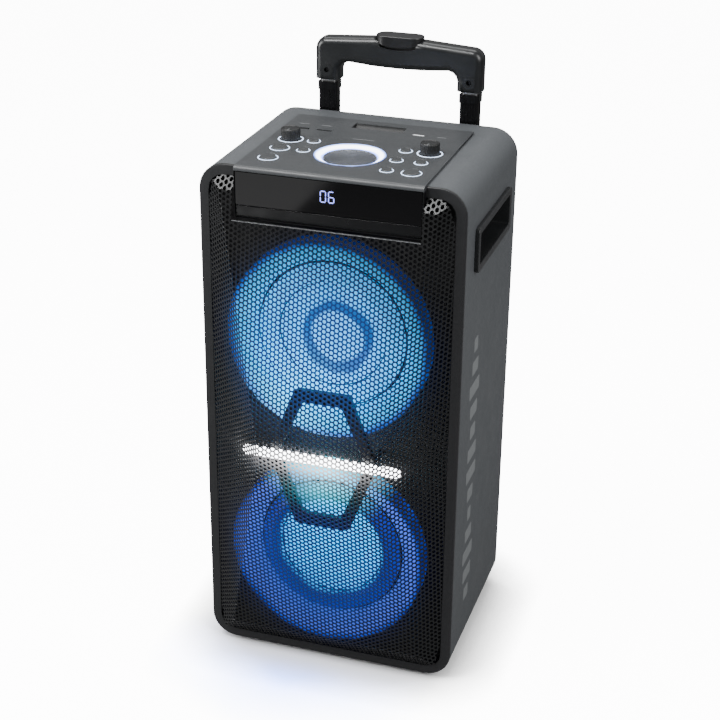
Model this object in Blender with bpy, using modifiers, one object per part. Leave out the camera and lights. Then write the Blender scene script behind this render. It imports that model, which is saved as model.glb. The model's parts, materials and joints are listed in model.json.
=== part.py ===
"""Party speaker: a two-driver cabinet with a lit front, controls on top and a telescopic handle.

Everything hangs on one empty, the speaker frame: X runs to the right as seen from the front, Y runs
back from the front face of the bezel, and Z runs up from the underside of the cabinet. Metres.
"""

import math

import bmesh
import bpy
from mathutils import Vector

# Cabinet
WIDTH = 0.290
HEIGHT = 0.585
DEPTH = 0.231
CORNER = 0.029
WALL = 0.003
GAP = 0.0003
REAR_ROUND = 0.006
FRONT_ROUND = 0.0010
FOOT_HEIGHT = 0.005
FOOT_RADIUS = 0.011

# Bezel and grille: the grille is a hipped pan whose ridge runs across the middle
BEZEL_BAND = 0.0108
BEZEL_PLATE = 0.004
BEZEL_ROUND = 0.0016
BEZEL_REACH = 0.0137
OPENING_ROUND = 0.018
GRILLE_ROUND = 0.0195
GRILLE_SHEET = 0.0015
GRILLE_BACK = 0.006
RIDGE_OUT = 0.054
RIDGE_HEIGHT = 0.277
RIDGE_HALF = 0.063
TOP_FOLD = (0.562, 0.012)
BOTTOM_FOLD = (0.033, 0.017)

# Drivers and the lit pieces round them
DRIVER_HEIGHTS = {"upper": 0.405, "lower": 0.1425}
BAFFLE_FRONT = 0.014
BAFFLE_BACK = 0.024
BAFFLE_TOP = 0.571
BAFFLE_HOLE = 0.075
RING_OUTER = 0.112
RING_OUT = 0.011
FLANGE_RADIUS = 0.084
CONE_RADIUS = 0.059
HEX_MIDDLE = 0.2705
BAR_HALF = 0.090
BAR_TALL = 0.011
BAR_FRONT = 0.030
HEX_FRONT = 0.025

# Control panel: a top plate with a front lip that frames the display
PANEL_HALF = 0.102
PANEL_REAR = 0.190
PANEL_TOP = 0.588
PANEL_UNDER = 0.5853
FASCIA_FRONT = 0.009
FASCIA_BOTTOM = 0.5315
LIP_ROUND = 0.005
DIAL_CENTRE = (0.0, 0.065)
DIAL_RADIUS = 0.0290
DIAL_RING_OUTER = 0.0385
ROWS = (0.0285, 0.0635, 0.0975)
OUTER_COLUMN = 0.078
INNER_COLUMN = 0.0515
LARGE_BUTTON = 0.0090
SMALL_BUTTON = 0.0058
BUTTON_PROUD = 0.0016
KNOB_RADIUS = 0.0105
KNOB_HEIGHT = 0.0120
SHAFT_RADIUS = 0.003
SLOT_HALF = 0.0295
BOARD_TOP = 0.5756

# Side grips
GRIP_LOW = (0.038, 0.483)
GRIP_HIGH = (0.185, 0.533)
GRIP_PROUD = 0.0047
GRIP_RIM = 0.0075
GRIP_INNER_X = 0.106

# Telescopic handle
RAIL_X = 0.0837
RAIL_Y = 0.244
GUIDE_SIZE = (0.0286, 0.0252)
GUIDE_BORE = (0.0226, 0.0192)
GUIDE_LOW = 0.190
GUIDE_HIGH = 0.572
OUTER_SIZE = (0.0214, 0.0180)
OUTER_BORE = (0.0182, 0.0148)
OUTER_LOW = 0.232
COLLAR_SIZE = (0.0234, 0.0200)
COLLAR_LOW = 0.606
COLLAR_HIGH = 0.616
INNER_SIZE = (0.0174, 0.0140)
INNER_BORE = (0.0146, 0.0112)
INNER_LOW = 0.242
INNER_HIGH = 0.640
HANDLE_HALF = 0.098
LEG_INNER = 0.069
LEG_LOW = 0.619
HANDLE_DEPTH = 0.0248
HANDLE_ROUND = 0.0075
RELEASE_HALF = (0.0275, 0.0132)
RELEASE_TOP = 0.6745
RELEASE_TRAVEL = 0.0020
SCREW_HEIGHT = 0.628

# Rear
WHEEL_RADIUS = 0.030
WHEEL_WIDTH = 0.024
WHEEL_X = 0.088
WHEEL_Y = 0.238
WHEEL_Z = 0.030
AXLE_RADIUS = 0.004
WELL_HALF = 0.0155
PANEL_PLATE_HALF = 0.064
PORT_HEIGHT = 0.470
PORT_RADIUS = 0.024

REAR_REACH = WHEEL_Y + WHEEL_RADIUS
REAR_WALL_OUT = DEPTH + GAP

for leftover in list(bpy.data.objects):
    bpy.data.objects.remove(leftover, do_unlink=True)

parts = bpy.data.collections.new("party_speaker")
cutters = bpy.data.collections.new("cutters")
bpy.context.scene.collection.children.link(parts)
bpy.context.scene.collection.children.link(cutters)

# The empty puts the part's origin on the floor, under the middle of its whole box
speaker = bpy.data.objects.new("speaker_frame", None)
speaker.location = (0.0, (RIDGE_OUT - REAR_REACH) / 2, FOOT_HEIGHT)
parts.objects.link(speaker)


def finish(name, colour, roughness, metallic=0.0, emission=0.0):
    """A plain Principled material."""
    material = bpy.data.materials.new(name)
    material.use_nodes = True
    shader = material.node_tree.nodes["Principled BSDF"]
    shader.inputs["Base Color"].default_value = (*colour, 1.0)
    shader.inputs["Roughness"].default_value = roughness
    shader.inputs["Metallic"].default_value = metallic
    shader.inputs["Emission Color"].default_value = (*colour, 1.0)
    shader.inputs["Emission Strength"].default_value = emission
    return material


BODY = finish("body_plastic", (0.105, 0.110, 0.115), 0.55)
DARK = finish("dark_plastic", (0.025, 0.027, 0.029), 0.50)
GLOSS = finish("display_plastic", (0.004, 0.004, 0.005), 0.08)
SHEET = finish("grille_sheet", (0.030, 0.031, 0.033), 0.45, metallic=0.6)
BOARD = finish("chipboard", (0.030, 0.025, 0.020), 0.80)
RUBBER = finish("rubber", (0.012, 0.012, 0.013), 0.85)
STEEL = finish("steel", (0.45, 0.45, 0.46), 0.35, metallic=1.0)
TUBE = finish("black_tube", (0.012, 0.012, 0.013), 0.30, metallic=0.4)
CONE = finish("cone_paper", (0.080, 0.250, 0.420), 0.70)
AZURE = finish("azure_light", (0.100, 0.450, 0.800), 0.40, emission=1.0)
WHITE = finish("white_light", (0.900, 0.920, 1.000), 0.40, emission=1.0)
CIRCUIT = finish("circuit_board", (0.020, 0.120, 0.050), 0.50)
CELLS = finish("battery_wrap", (0.020, 0.060, 0.180), 0.50)


def place(name, bm, material, at, rotation=(0.0, 0.0, 0.0)):
    """Wraps a mesh as a part, or as a hidden cutter if it has no material."""
    mesh = bpy.data.meshes.new(name)
    bm.to_mesh(mesh)
    bm.free()
    return place_mesh(name, mesh, material, at, rotation)


def place_mesh(name, mesh, material, at, rotation):
    item = bpy.data.objects.new(name, mesh)
    item.parent = speaker
    item.location = at
    item.rotation_euler = rotation
    if material is None:
        cutters.objects.link(item)
        item.hide_render = True
        item.display_type = "WIRE"
        return item
    parts.objects.link(item)
    mesh.materials.append(material)
    mesh.shade_smooth()
    mesh.set_sharp_from_angle(angle=math.radians(40))
    return item


def soften(item, width, segments=2):
    """Rounds the edges that are sharper than the facets of a curve."""
    bevel = item.modifiers.new("soften", "BEVEL")
    bevel.width = width
    bevel.segments = segments
    bevel.limit_method = "ANGLE"
    bevel.angle_limit = math.radians(50)


def block(name, low, high, material=None, radius=0.0, along="Y", segments=5, soft=0.0, rims=(0.0, 0.0)):
    """A box between two corners, its edges along one axis rounded, and then the edges of its two end faces."""
    low = Vector(low)
    high = Vector(high)
    across = "XYZ".index(along)
    bm = bmesh.new()
    bmesh.ops.create_cube(bm, size=1.0)
    bmesh.ops.scale(bm, vec=high - low, verts=bm.verts)
    if radius:
        ends = [(edge, edge.verts[0].co - edge.verts[1].co) for edge in bm.edges]
        long_edges = [edge for edge, run in ends if abs(run[across]) > 0.5 * run.length]
        bmesh.ops.bevel(bm, geom=long_edges, offset=radius, segments=segments, profile=0.5, affect="EDGES")
    for way, width in zip((-1, 1), rims):
        limit = way * (high - low)[across] / 2
        rim = [edge for edge in bm.edges if all(abs(vert.co[across] - limit) < 1e-6 for vert in edge.verts)]
        if width:
            bmesh.ops.bevel(bm, geom=rim, offset=width, segments=2, profile=0.5, affect="EDGES")
    item = place(name, bm, material, (low + high) / 2)
    if soft:
        soften(item, soft)
    return item


def rod(name, centre, radius, length, material=None, facing="Z", sides=24, squash=1.0):
    """A cylinder round one axis, or an elliptical one when squash isn't 1."""
    bm = bmesh.new()
    bmesh.ops.create_cone(bm, cap_ends=True, segments=sides, radius1=radius, radius2=radius, depth=length)
    bmesh.ops.scale(bm, vec=(1.0, squash, 1.0), verts=bm.verts)
    return place(name, bm, material, centre, TURNS[facing])


# Turns a piece made along Z so that its top faces up, to the front, to the rear or to the right
TURNS = {
    "Z": (0.0, 0.0, 0.0),
    "front": (math.pi / 2, 0.0, 0.0),
    "rear": (-math.pi / 2, 0.0, 0.0),
    "right": (math.pi / 2, 0.0, math.pi / 2),
}


def turned(name, profile, material, centre, facing="Z", steps=40, ring=False):
    """A profile of (radius, height) points, from top to bottom down its outer side, turned on its axis."""
    bm = bmesh.new()
    points = [bm.verts.new((radius, 0.0, height)) for radius, height in profile]
    for first, second in zip(points, points[1:]):
        bm.edges.new((first, second))
    if ring:
        bm.edges.new((points[-1], points[0]))
    item = place(name, bm, material, centre, TURNS[facing])
    screw = item.modifiers.new("turn", "SCREW")
    screw.steps = steps
    screw.render_steps = steps
    screw.use_merge_vertices = True
    screw.merge_threshold = 0.00001
    return item


def lying_spindle(item):
    """Lays a piece turned about Z along X, its top to the right."""
    item.rotation_euler = (0.0, math.pi / 2, 0.0)
    return item


def arc(centre, radius, start, end, steps=5):
    """Points of an arc, with its angles in degrees."""
    angles = [math.radians(start + (end - start) * step / steps) for step in range(steps + 1)]
    return [(centre[0] + radius * math.cos(a), centre[1] + radius * math.sin(a)) for a in angles]


def rounded(points, radius, steps=4):
    """A closed outline with each of its corners rounded."""
    outline = []
    for index, point in enumerate(points):
        corner = Vector(point)
        before = (Vector(points[index - 1]) - corner).normalized()
        after = (Vector(points[(index + 1) % len(points)]) - corner).normalized()
        half = before.angle(after) / 2
        start = corner + before * radius / math.tan(half)
        end = corner + after * radius / math.tan(half)
        middle = corner + (before + after).normalized() * radius / math.sin(half)
        for step in range(steps + 1):
            spoke = (start - middle).lerp(end - middle, step / steps).normalized() * radius
            outline.append(tuple(middle + spoke))
    return outline


def cut_from_sheet(name, loops, thickness, material, at, facing):
    """A flat outline, with any holes, made into a plate of this thickness with welded caps."""
    curve = bpy.data.curves.new(name, "CURVE")
    curve.dimensions = "2D"
    curve.fill_mode = "BOTH"
    curve.extrude = thickness / 2
    for loop in loops:
        spline = curve.splines.new("POLY")
        spline.points.add(len(loop) - 1)
        for knot, (across, up) in zip(spline.points, loop):
            knot.co = (across, up, 0.0, 1.0)
        spline.use_cyclic_u = True
    drawn = bpy.data.objects.new(name + "_outline", curve)
    bpy.context.scene.collection.objects.link(drawn)
    graph = bpy.context.evaluated_depsgraph_get()
    mesh = bpy.data.meshes.new_from_object(drawn.evaluated_get(graph))
    bpy.data.objects.remove(drawn, do_unlink=True)
    bm = bmesh.new()
    bm.from_mesh(mesh)
    bmesh.ops.remove_doubles(bm, verts=bm.verts, dist=0.00001)
    bpy.data.meshes.remove(mesh)
    return place(name, bm, material, at, TURNS[facing])


def boolean(target, tool, operation):
    step = target.modifiers.new(operation.lower(), "BOOLEAN")
    step.operation = operation
    step.object = tool
    step.solver = "EXACT"


def cut(target, *tools):
    for tool in tools:
        boolean(target, tool, "DIFFERENCE")


def join(target, *tools):
    for tool in tools:
        boolean(target, tool, "UNION")


def mirrored(low, high, side):
    """The same box on the right (side 1) or on the left (side -1)."""
    ends = sorted((low[0] * side, high[0] * side))
    return (ends[0], *low[1:]), (ends[1], *high[1:])


def tube_box(size, side, low, high):
    """The corners of an upright box centred on one rail of the handle."""
    middle = side * RAIL_X
    return (
        (middle - size[0] / 2, RAIL_Y - size[1] / 2, low),
        (middle + size[0] / 2, RAIL_Y + size[1] / 2, high),
    )


SIDES = {"left": -1, "right": 1}


def make_cabinet():
    half = WIDTH / 2
    front = BEZEL_PLATE + GAP
    rims = (FRONT_ROUND, REAR_ROUND)
    shell = block("cabinet_shell", (-half, front, 0), (half, DEPTH, HEIGHT), BODY, CORNER, segments=8, rims=rims)
    inside = block(
        "cabinet_inside",
        (-half + WALL, -0.01, WALL),
        (half - WALL, DEPTH - WALL, HEIGHT - WALL),
        radius=CORNER - WALL,
        segments=7,
    )
    wells = []
    for name, side in SIDES.items():
        low = (WHEEL_X - WELL_HALF, WHEEL_Y - 0.035, -0.01)
        high = (WHEEL_X + WELL_HALF, DEPTH + 0.01, WHEEL_Z + 0.036)
        wells.append(block("well_" + name, *mirrored(low, high, side)))
        thick_low = (low[0] - WALL, low[1] - WALL, low[2])
        thick_high = (high[0] + WALL, high[1], high[2] + WALL)
        cut(inside, block("well_wall_" + name, *mirrored(thick_low, thick_high, side)))
    cut(shell, inside)
    for name, side in SIDES.items():
        for ear, inner in (("inner", WHEEL_X - WELL_HALF - WALL), ("outer", WHEEL_X + WELL_HALF)):
            low = (inner, WHEEL_Y - 0.030, WHEEL_Z - 0.012)
            high = (inner + WALL, WHEEL_Y + 0.010, WHEEL_Z + 0.014)
            box = mirrored(low, high, side)
            join(shell, block(f"axle_ear_{name}_{ear}", *box, radius=0.009, along="X"))
    cut(shell, *wells)
    cut(shell, rod("axle_bore", (0, WHEEL_Y, WHEEL_Z), AXLE_RADIUS + GAP, 0.230, facing="right"))
    cut(shell, block("top_opening", (-0.096, 0.012, HEIGHT - 0.02), (0.096, 0.186, HEIGHT + 0.02)))
    cut(shell, block("rear_opening", (-0.058, DEPTH - 0.02, 0.118), (0.058, DEPTH + 0.02, 0.522)))
    for name, side in SIDES.items():
        low = (half - 0.02, GRIP_LOW[0] + 0.0037, GRIP_LOW[1] + 0.0037)
        high = (half + 0.02, GRIP_HIGH[0] - 0.0037, GRIP_HIGH[1] - 0.0037)
        cut(shell, block("grip_opening_" + name, *mirrored(low, high, side)))


def make_bezel():
    half = WIDTH / 2
    inset = WALL + 2 * GAP
    rims = (BEZEL_ROUND, 0.0)
    bezel = block("front_bezel", (-half, 0, 0), (half, BEZEL_PLATE, HEIGHT), DARK, CORNER, segments=8, rims=rims)
    skirt_low = (-half + inset, BEZEL_PLATE / 2, inset)
    skirt_high = (half - inset, BEZEL_REACH, HEIGHT - inset)
    join(bezel, block("bezel_skirt", skirt_low, skirt_high, radius=CORNER - inset, segments=7))
    low = (-half + BEZEL_BAND, -0.01, BEZEL_BAND)
    high = (half - BEZEL_BAND, 0.03, HEIGHT - BEZEL_BAND)
    cut(bezel, block("bezel_window", low, high, radius=OPENING_ROUND, segments=4))


def grille_planes(inset):
    """(point, outward normal) of the pan's faces, each moved in by the inset."""
    edge = WIDTH / 2 - BEZEL_BAND - 0.0005
    foot = BEZEL_BAND + 0.0007
    head = HEIGHT - BEZEL_BAND - 0.0005
    side_slope = RIDGE_OUT / (edge - RIDGE_HALF)
    top_slope = TOP_FOLD[1] / (head - TOP_FOLD[0])
    bottom_slope = BOTTOM_FOLD[1] / (BOTTOM_FOLD[0] - foot)
    upper_slope = (RIDGE_OUT - TOP_FOLD[1]) / (TOP_FOLD[0] - RIDGE_HEIGHT)
    lower_slope = (RIDGE_OUT - BOTTOM_FOLD[1]) / (RIDGE_HEIGHT - BOTTOM_FOLD[0])
    ridge = (0, -RIDGE_OUT, RIDGE_HEIGHT)
    faces = [
        ((0, 0, foot), (0, 0, -1)),
        ((0, 0, head), (0, 0, 1)),
        (ridge, (0, -1, upper_slope)),
        (ridge, (0, -1, -lower_slope)),
        ((0, 0, head), (0, -1, top_slope)),
        ((0, 0, foot), (0, -1, -bottom_slope)),
    ]
    for side in (-1, 1):
        faces.append(((side * edge, 0, 0), (side, 0, 0)))
        faces.append(((side * edge, 0, 0), (side * side_slope, -1, 0)))
        for end, centre in ((-1, foot + GRILLE_ROUND), (1, head - GRILLE_ROUND)):
            middle = Vector((side * (edge - GRILLE_ROUND), 0, centre))
            for degrees in (22.5, 45.0, 67.5):
                turn = math.radians(degrees)
                outward = Vector((side * math.cos(turn), 0, end * math.sin(turn)))
                faces.append((middle + outward * GRILLE_ROUND, outward))
    for point, normal in faces:
        outward = Vector(normal).normalized()
        yield Vector(point) - outward * inset, outward


def hipped_solid(name, inset, back, material=None):
    """The convex body inside the pan's faces, closed at the back by a flat face."""
    bm = bmesh.new()
    bmesh.ops.create_cube(bm, size=1.0)
    bmesh.ops.scale(bm, vec=(0.6, 0.4, 1.6), verts=bm.verts)
    bmesh.ops.translate(bm, vec=(0, back - 0.2, HEIGHT / 2), verts=bm.verts)
    for point, outward in grille_planes(inset):
        everything = bm.verts[:] + bm.edges[:] + bm.faces[:]
        cut_off = bmesh.ops.bisect_plane(
            bm, geom=everything, dist=1e-7, plane_co=point, plane_no=outward, clear_outer=True
        )
        rim = [item for item in cut_off["geom_cut"] if isinstance(item, bmesh.types.BMEdge)]
        bmesh.ops.edgeloop_fill(bm, edges=rim)
    bmesh.ops.recalc_face_normals(bm, faces=bm.faces)
    return place(name, bm, material, (0, 0, 0))


def make_grille():
    pan = hipped_solid("front_grille", 0.0, GRILLE_BACK, SHEET)
    cut(pan, hipped_solid("grille_hollow", GRILLE_SHEET, GRILLE_BACK + 0.02))
    notch_low = (-PANEL_HALF - 0.0006, -0.1, FASCIA_BOTTOM - 0.0006)
    cut(pan, block("fascia_notch", notch_low, (PANEL_HALF + 0.0006, 0.1, HEIGHT + 0.1)))


def make_baffle():
    inset = WALL + 3 * GAP
    half = WIDTH / 2 - inset
    low = (-half, BAFFLE_FRONT, inset)
    high = (half, BAFFLE_BACK, BAFFLE_TOP)
    baffle = block("baffle_board", low, high, BOARD, CORNER - inset, segments=4)
    for name, height in DRIVER_HEIGHTS.items():
        cut(baffle, rod("baffle_hole_" + name, (0, BAFFLE_BACK, height), BAFFLE_HOLE, 0.06, facing="front", sides=40))


def make_driver(name, height):
    """One woofer: frame with its magnet, moving cone, rubber surround and the light ring round them."""
    centre = (0, 0, height)
    flange_front = BAFFLE_FRONT - 0.0040
    frame_profile = [
        (0, -0.064),
        (0.034, -0.064),
        (0.064, -0.022),
        (0.064, -flange_front),
        (FLANGE_RADIUS, -flange_front),
        (FLANGE_RADIUS, -BAFFLE_FRONT + GAP),
        (0.073, -BAFFLE_FRONT + GAP),
        (0.070, -0.026),
        (0.044, -0.062),
        (0.044, -0.088),
        (0, -0.088),
    ]
    turned(f"woofer_{name}_frame", frame_profile, DARK, centre, "front")
    cone_profile = [
        (0, -0.0200),
        (0.019, -0.0218),
        (0.031, -0.0262),
        (0.0375, -0.0305),
        (CONE_RADIUS, -0.0115),
        (CONE_RADIUS, -0.0130),
        (0.0205, -0.0465),
        (0.0200, -0.0580),
        (0.0185, -0.0580),
        (0.0185, -0.0440),
        (0.0325, -0.0305),
        (0.018, -0.0236),
        (0, -0.0216),
    ]
    turned(f"woofer_{name}_cone", cone_profile, CONE, centre, "front")
    roll_middle = (CONE_RADIUS + 0.0105, -0.0085)
    roll = arc(roll_middle, 0.0082, 175, 5, steps=4)
    under = arc(roll_middle, 0.0068, 10, 170, steps=4)
    lip = [(0.082, -0.0082), (0.082, -0.0097)]
    foot = [(CONE_RADIUS + 0.0013, -0.0110)]
    turned(f"woofer_{name}_surround", roll + lip + under + foot, RUBBER, centre, "front", ring=True)
    light_profile = [
        (0.085, -0.008),
        (RING_OUTER - 0.0012, RING_OUT),
        (RING_OUTER, RING_OUT),
        (RING_OUTER, -BAFFLE_FRONT + GAP),
        (RING_OUTER - 0.003, -BAFFLE_FRONT + GAP),
        (RING_OUTER - 0.003, RING_OUT - 0.005),
        (0.088, -0.0105),
        (0.088, -BAFFLE_FRONT + GAP),
        (0.085, -BAFFLE_FRONT + GAP),
    ]
    turned(f"light_ring_{name}", light_profile, AZURE, centre, "front", ring=True)


def make_front_trim():
    """The hexagonal trim on its two posts, and the light bar across it."""
    outer = [(0.031, 0.0805), (-0.031, 0.0805), (-0.062, 0), (-0.031, -0.0845), (0.031, -0.0845), (0.062, 0)]
    inner = [(0.022, 0.066), (-0.022, 0.066), (-0.050, 0), (-0.022, -0.070), (0.022, -0.070), (0.050, 0)]
    thickness = 0.007
    middle = -HEX_FRONT + thickness / 2
    loops = [rounded(outer, 0.008), rounded(inner, 0.006)]
    trim = cut_from_sheet("hex_trim", loops, thickness, DARK, (0, middle, HEX_MIDDLE), "front")
    length = BAFFLE_FRONT - GAP - middle
    for name, side in SIDES.items():
        post = (side * 0.056, middle + length / 2, HEX_MIDDLE)
        join(trim, rod("hex_post_" + name, post, 0.0035, length, facing="front", sides=12))
    low = (-BAR_HALF, -BAR_FRONT, HEX_MIDDLE - BAR_TALL / 2)
    high = (BAR_HALF, -HEX_FRONT - 2 * GAP, HEX_MIDDLE + BAR_TALL / 2)
    block("light_bar", low, high, WHITE, 0.0048, "Y", segments=3, soft=0.001)


def button_places():
    """Name, position and radius of each push button on the panel."""
    return [
        ("button_light", (-INNER_COLUMN, ROWS[2]), SMALL_BUTTON),
        ("button_echo", (-INNER_COLUMN, ROWS[1]), SMALL_BUTTON),
        ("button_bass", (-OUTER_COLUMN, ROWS[1]), LARGE_BUTTON),
        ("button_pair", (-OUTER_COLUMN, ROWS[0]), LARGE_BUTTON),
        ("button_next", (INNER_COLUMN, ROWS[2]), SMALL_BUTTON),
        ("button_play", (INNER_COLUMN, ROWS[1]), SMALL_BUTTON),
        ("button_previous", (INNER_COLUMN, ROWS[0]), SMALL_BUTTON),
        ("button_mode", (OUTER_COLUMN, ROWS[1]), SMALL_BUTTON),
        ("button_power", (OUTER_COLUMN, ROWS[0]), LARGE_BUTTON),
    ]


def make_panel():
    front = -FASCIA_FRONT
    back = -GAP - 0.0001
    lip = arc((front + LIP_ROUND, PANEL_TOP - LIP_ROUND), LIP_ROUND, 180, 90)
    section = [(front, FASCIA_BOTTOM), *lip, (PANEL_REAR, PANEL_TOP)]
    section += [(PANEL_REAR, PANEL_UNDER), (back, PANEL_UNDER), (back, FASCIA_BOTTOM)]
    panel = cut_from_sheet("control_panel", [section], 2 * PANEL_HALF, BODY, (0, 0, 0), "right")
    tray_low = (-SLOT_HALF - 0.002, 0.157, 0.572)
    tray_high = (SLOT_HALF + 0.002, 0.1835, PANEL_TOP - 0.001)
    join(panel, block("slot_tray", tray_low, tray_high))
    slot = block("phone_slot", (-SLOT_HALF, 0.159, 0.574), (SLOT_HALF, 0.169, PANEL_TOP + 0.01))
    ramp_section = [(0.1685, 0.580), (0.1685, PANEL_TOP + 0.002), (0.1830, PANEL_TOP + 0.002)]
    ramp = cut_from_sheet("phone_ramp", [ramp_section], 2 * SLOT_HALF, None, (0, 0, 0), "right")
    window = block("display_pocket", (-0.1012, -0.02, 0.5321), (0.1012, -0.0031, 0.5824))
    usb = block("usb_hole", (-0.0847, 0.1368, 0.57), (-0.0715, 0.1422, PANEL_TOP + 0.01))
    card = block("card_pocket", (-0.0628, 0.1370, PANEL_TOP - 0.0018), (-0.0452, 0.1415, PANEL_TOP + 0.01))
    cut(panel, slot, ramp, window, usb, card)
    for name, (across, back_by), radius in button_places():
        cut(panel, rod(name + "_hole", (across, back_by, PANEL_TOP), radius + 0.0004, 0.02, sides=20))
    for name, side in SIDES.items():
        shaft_hole = (side * OUTER_COLUMN, ROWS[2], PANEL_TOP)
        cut(panel, rod(f"knob_{name}_hole", shaft_hole, SHAFT_RADIUS + 0.0004, 0.02, sides=16))
    cut(panel, rod("dial_hole", (*DIAL_CENTRE, PANEL_TOP), DIAL_RING_OUTER + GAP, 0.02, sides=40))
    block("display_window", (-0.1008, -0.0084, 0.5458), (0.1008, -0.0034, 0.5820), GLOSS, soft=0.0005)
    block("fascia_strip", (-0.1008, -0.0078, 0.5325), (0.1008, -0.0034, 0.5453), DARK, soft=0.0008)
    socket_low = (-0.0861, 0.1354, 0.5722)
    socket = block("usb_socket", socket_low, (-0.0701, 0.1436, PANEL_UNDER - GAP), STEEL)
    cut(socket, block("usb_bay", (-0.0847, 0.1368, 0.5736), (-0.0715, 0.1422, PANEL_TOP)))


def make_controls():
    stem_low = BOARD_TOP + 0.0014
    for name, (across, back_by), radius in button_places():
        crown = PANEL_TOP + BUTTON_PROUD
        profile = [(0, crown - 0.0004), (radius * 0.7, crown - 0.0002), (radius - 0.0006, crown)]
        profile += [(radius, crown - 0.0008), (radius, stem_low), (0, stem_low)]
        shifted = [(reach, height - crown) for reach, height in profile]
        turned(name, shifted, DARK, (across, back_by, crown), steps=20)
    knob_low = PANEL_TOP + 0.0005
    knob_profile = [
        (0, KNOB_HEIGHT - 0.0006),
        (KNOB_RADIUS - 0.0025, KNOB_HEIGHT - 0.0006),
        (KNOB_RADIUS - 0.0010, KNOB_HEIGHT),
        (KNOB_RADIUS, KNOB_HEIGHT - 0.0010),
        (KNOB_RADIUS, 0),
        (SHAFT_RADIUS, 0),
        (SHAFT_RADIUS, BOARD_TOP + 0.0014 - knob_low),
        (0, BOARD_TOP + 0.0014 - knob_low),
    ]
    for name, side in SIDES.items():
        turned(f"knob_{name}", knob_profile, DARK, (side * OUTER_COLUMN, ROWS[2], knob_low), steps=24)
    dial_top = PANEL_TOP - 0.0025
    dial_profile = [
        (0, -0.0006),
        (DIAL_RADIUS * 0.6, -0.0004),
        (DIAL_RADIUS - 0.0010, 0),
        (DIAL_RADIUS, -0.0010),
        (DIAL_RADIUS, -0.0050),
        (0.004, -0.0050),
        (0.004, BOARD_TOP + 0.0010 - dial_top),
        (0, BOARD_TOP + 0.0010 - dial_top),
    ]
    turned("volume_dial", dial_profile, BODY, (*DIAL_CENTRE, dial_top))
    ring_inner = DIAL_RADIUS + 0.0006
    ring_profile = [
        (ring_inner, -0.0030),
        (ring_inner + 0.0035, -0.0017),
        (DIAL_RING_OUTER - 0.0009, 0.0006),
        (DIAL_RING_OUTER, 0.0002),
        (DIAL_RING_OUTER, -0.0080),
        (ring_inner, -0.0080),
    ]
    turned("dial_light_ring", ring_profile, WHITE, (*DIAL_CENTRE, PANEL_TOP), ring=True)
    low = (-0.092, 0.016, BOARD_TOP - 0.0016)
    block("control_board", low, (0.092, 0.132, BOARD_TOP), CIRCUIT, 0.003, "Z", segments=2)


def make_side_grips():
    half = WIDTH / 2
    for name, side in SIDES.items():
        low = (half + GAP, *GRIP_LOW)
        high = (half + GRIP_PROUD, *GRIP_HIGH)
        grip = block(f"side_grip_{name}", *mirrored(low, high, side), DARK, 0.006, "X", segments=3)
        cup_low = (GRIP_INNER_X, GRIP_LOW[0] + 0.004, GRIP_LOW[1] + 0.004)
        cup_high = (half + 0.002, GRIP_HIGH[0] - 0.004, GRIP_HIGH[1] - 0.004)
        join(grip, block("grip_cup_" + name, *mirrored(cup_low, cup_high, side)))
        recess_low = (GRIP_INNER_X + 0.003, GRIP_LOW[0] + GRIP_RIM, GRIP_LOW[1] + GRIP_RIM)
        recess_high = (half + 0.02, GRIP_HIGH[0] - GRIP_RIM, GRIP_HIGH[1] - GRIP_RIM)
        recess = mirrored(recess_low, recess_high, side)
        cut(grip, block("grip_recess_" + name, *recess, radius=0.003, along="X", segments=2))


def make_rails():
    """The fixed guides on the rear wall and the two telescopic stages, left and right."""
    for name, side in SIDES.items():
        guide = block(f"handle_guide_{name}", *tube_box(GUIDE_SIZE, side, GUIDE_LOW, GUIDE_HIGH), DARK, 0.003, "Z", 2)
        bore = tube_box(GUIDE_BORE, side, GUIDE_LOW + 0.0055, GUIDE_HIGH + 0.01)
        cut(guide, block("guide_bore_" + name, *bore, radius=0.003, along="Z", segments=2))
        outer = block(f"outer_tube_{name}", *tube_box(OUTER_SIZE, side, OUTER_LOW, COLLAR_HIGH), TUBE, 0.003, "Z", 3)
        collar = tube_box(COLLAR_SIZE, side, COLLAR_LOW, COLLAR_HIGH - 0.0005)
        join(outer, block("collar_" + name, *collar, radius=0.0035, along="Z", segments=3))
        hollow = tube_box(OUTER_BORE, side, OUTER_LOW - 0.01, COLLAR_HIGH + 0.01)
        cut(outer, block("outer_bore_" + name, *hollow, radius=0.002, along="Z", segments=2))
        inner = block(f"inner_tube_{name}", *tube_box(INNER_SIZE, side, INNER_LOW, INNER_HIGH), STEEL, 0.002, "Z", 2)
        core = tube_box(INNER_BORE, side, INNER_LOW - 0.01, INNER_HIGH + 0.01)
        cut(inner, block("inner_bore_" + name, *core, radius=0.001, along="Z", segments=1))


def handle_outline():
    """The arch seen from the front: a bowed bar with rounded shoulders on two legs."""
    shoulder = arc((HANDLE_HALF - 0.013, 0.654), 0.013, 0, 80, steps=4)
    armpit = arc((LEG_INNER - 0.011, 0.629), 0.011, 0, 85, steps=3)
    crown = [(0.030, 0.6706), (0, 0.6715)]
    belly = [(0.030, 0.6376), (0, 0.6368)]
    right = [(HANDLE_HALF, LEG_LOW - 0.012), *shoulder, *crown]
    under = [(LEG_INNER, LEG_LOW - 0.012), *armpit, *belly]
    left = [(-across, up) for across, up in reversed(right[:-1])]
    under_left = [(-across, up) for across, up in reversed(under[:-1])]
    return right + left + list(reversed(under + under_left))


def inset_outline(outline, inset):
    """A closed anticlockwise outline with every side moved inwards by the inset."""
    moved = []
    for index, point in enumerate(outline):
        here = Vector(point)
        before = (here - Vector(outline[index - 1])).normalized()
        after = (Vector(outline[(index + 1) % len(outline)]) - here).normalized()
        mean = Vector((-before.y - after.y, before.x + after.x)).normalized()
        lean = mean.dot(Vector((-after.y, after.x)))
        moved.append(here + mean * inset / lean)
    return moved


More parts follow.
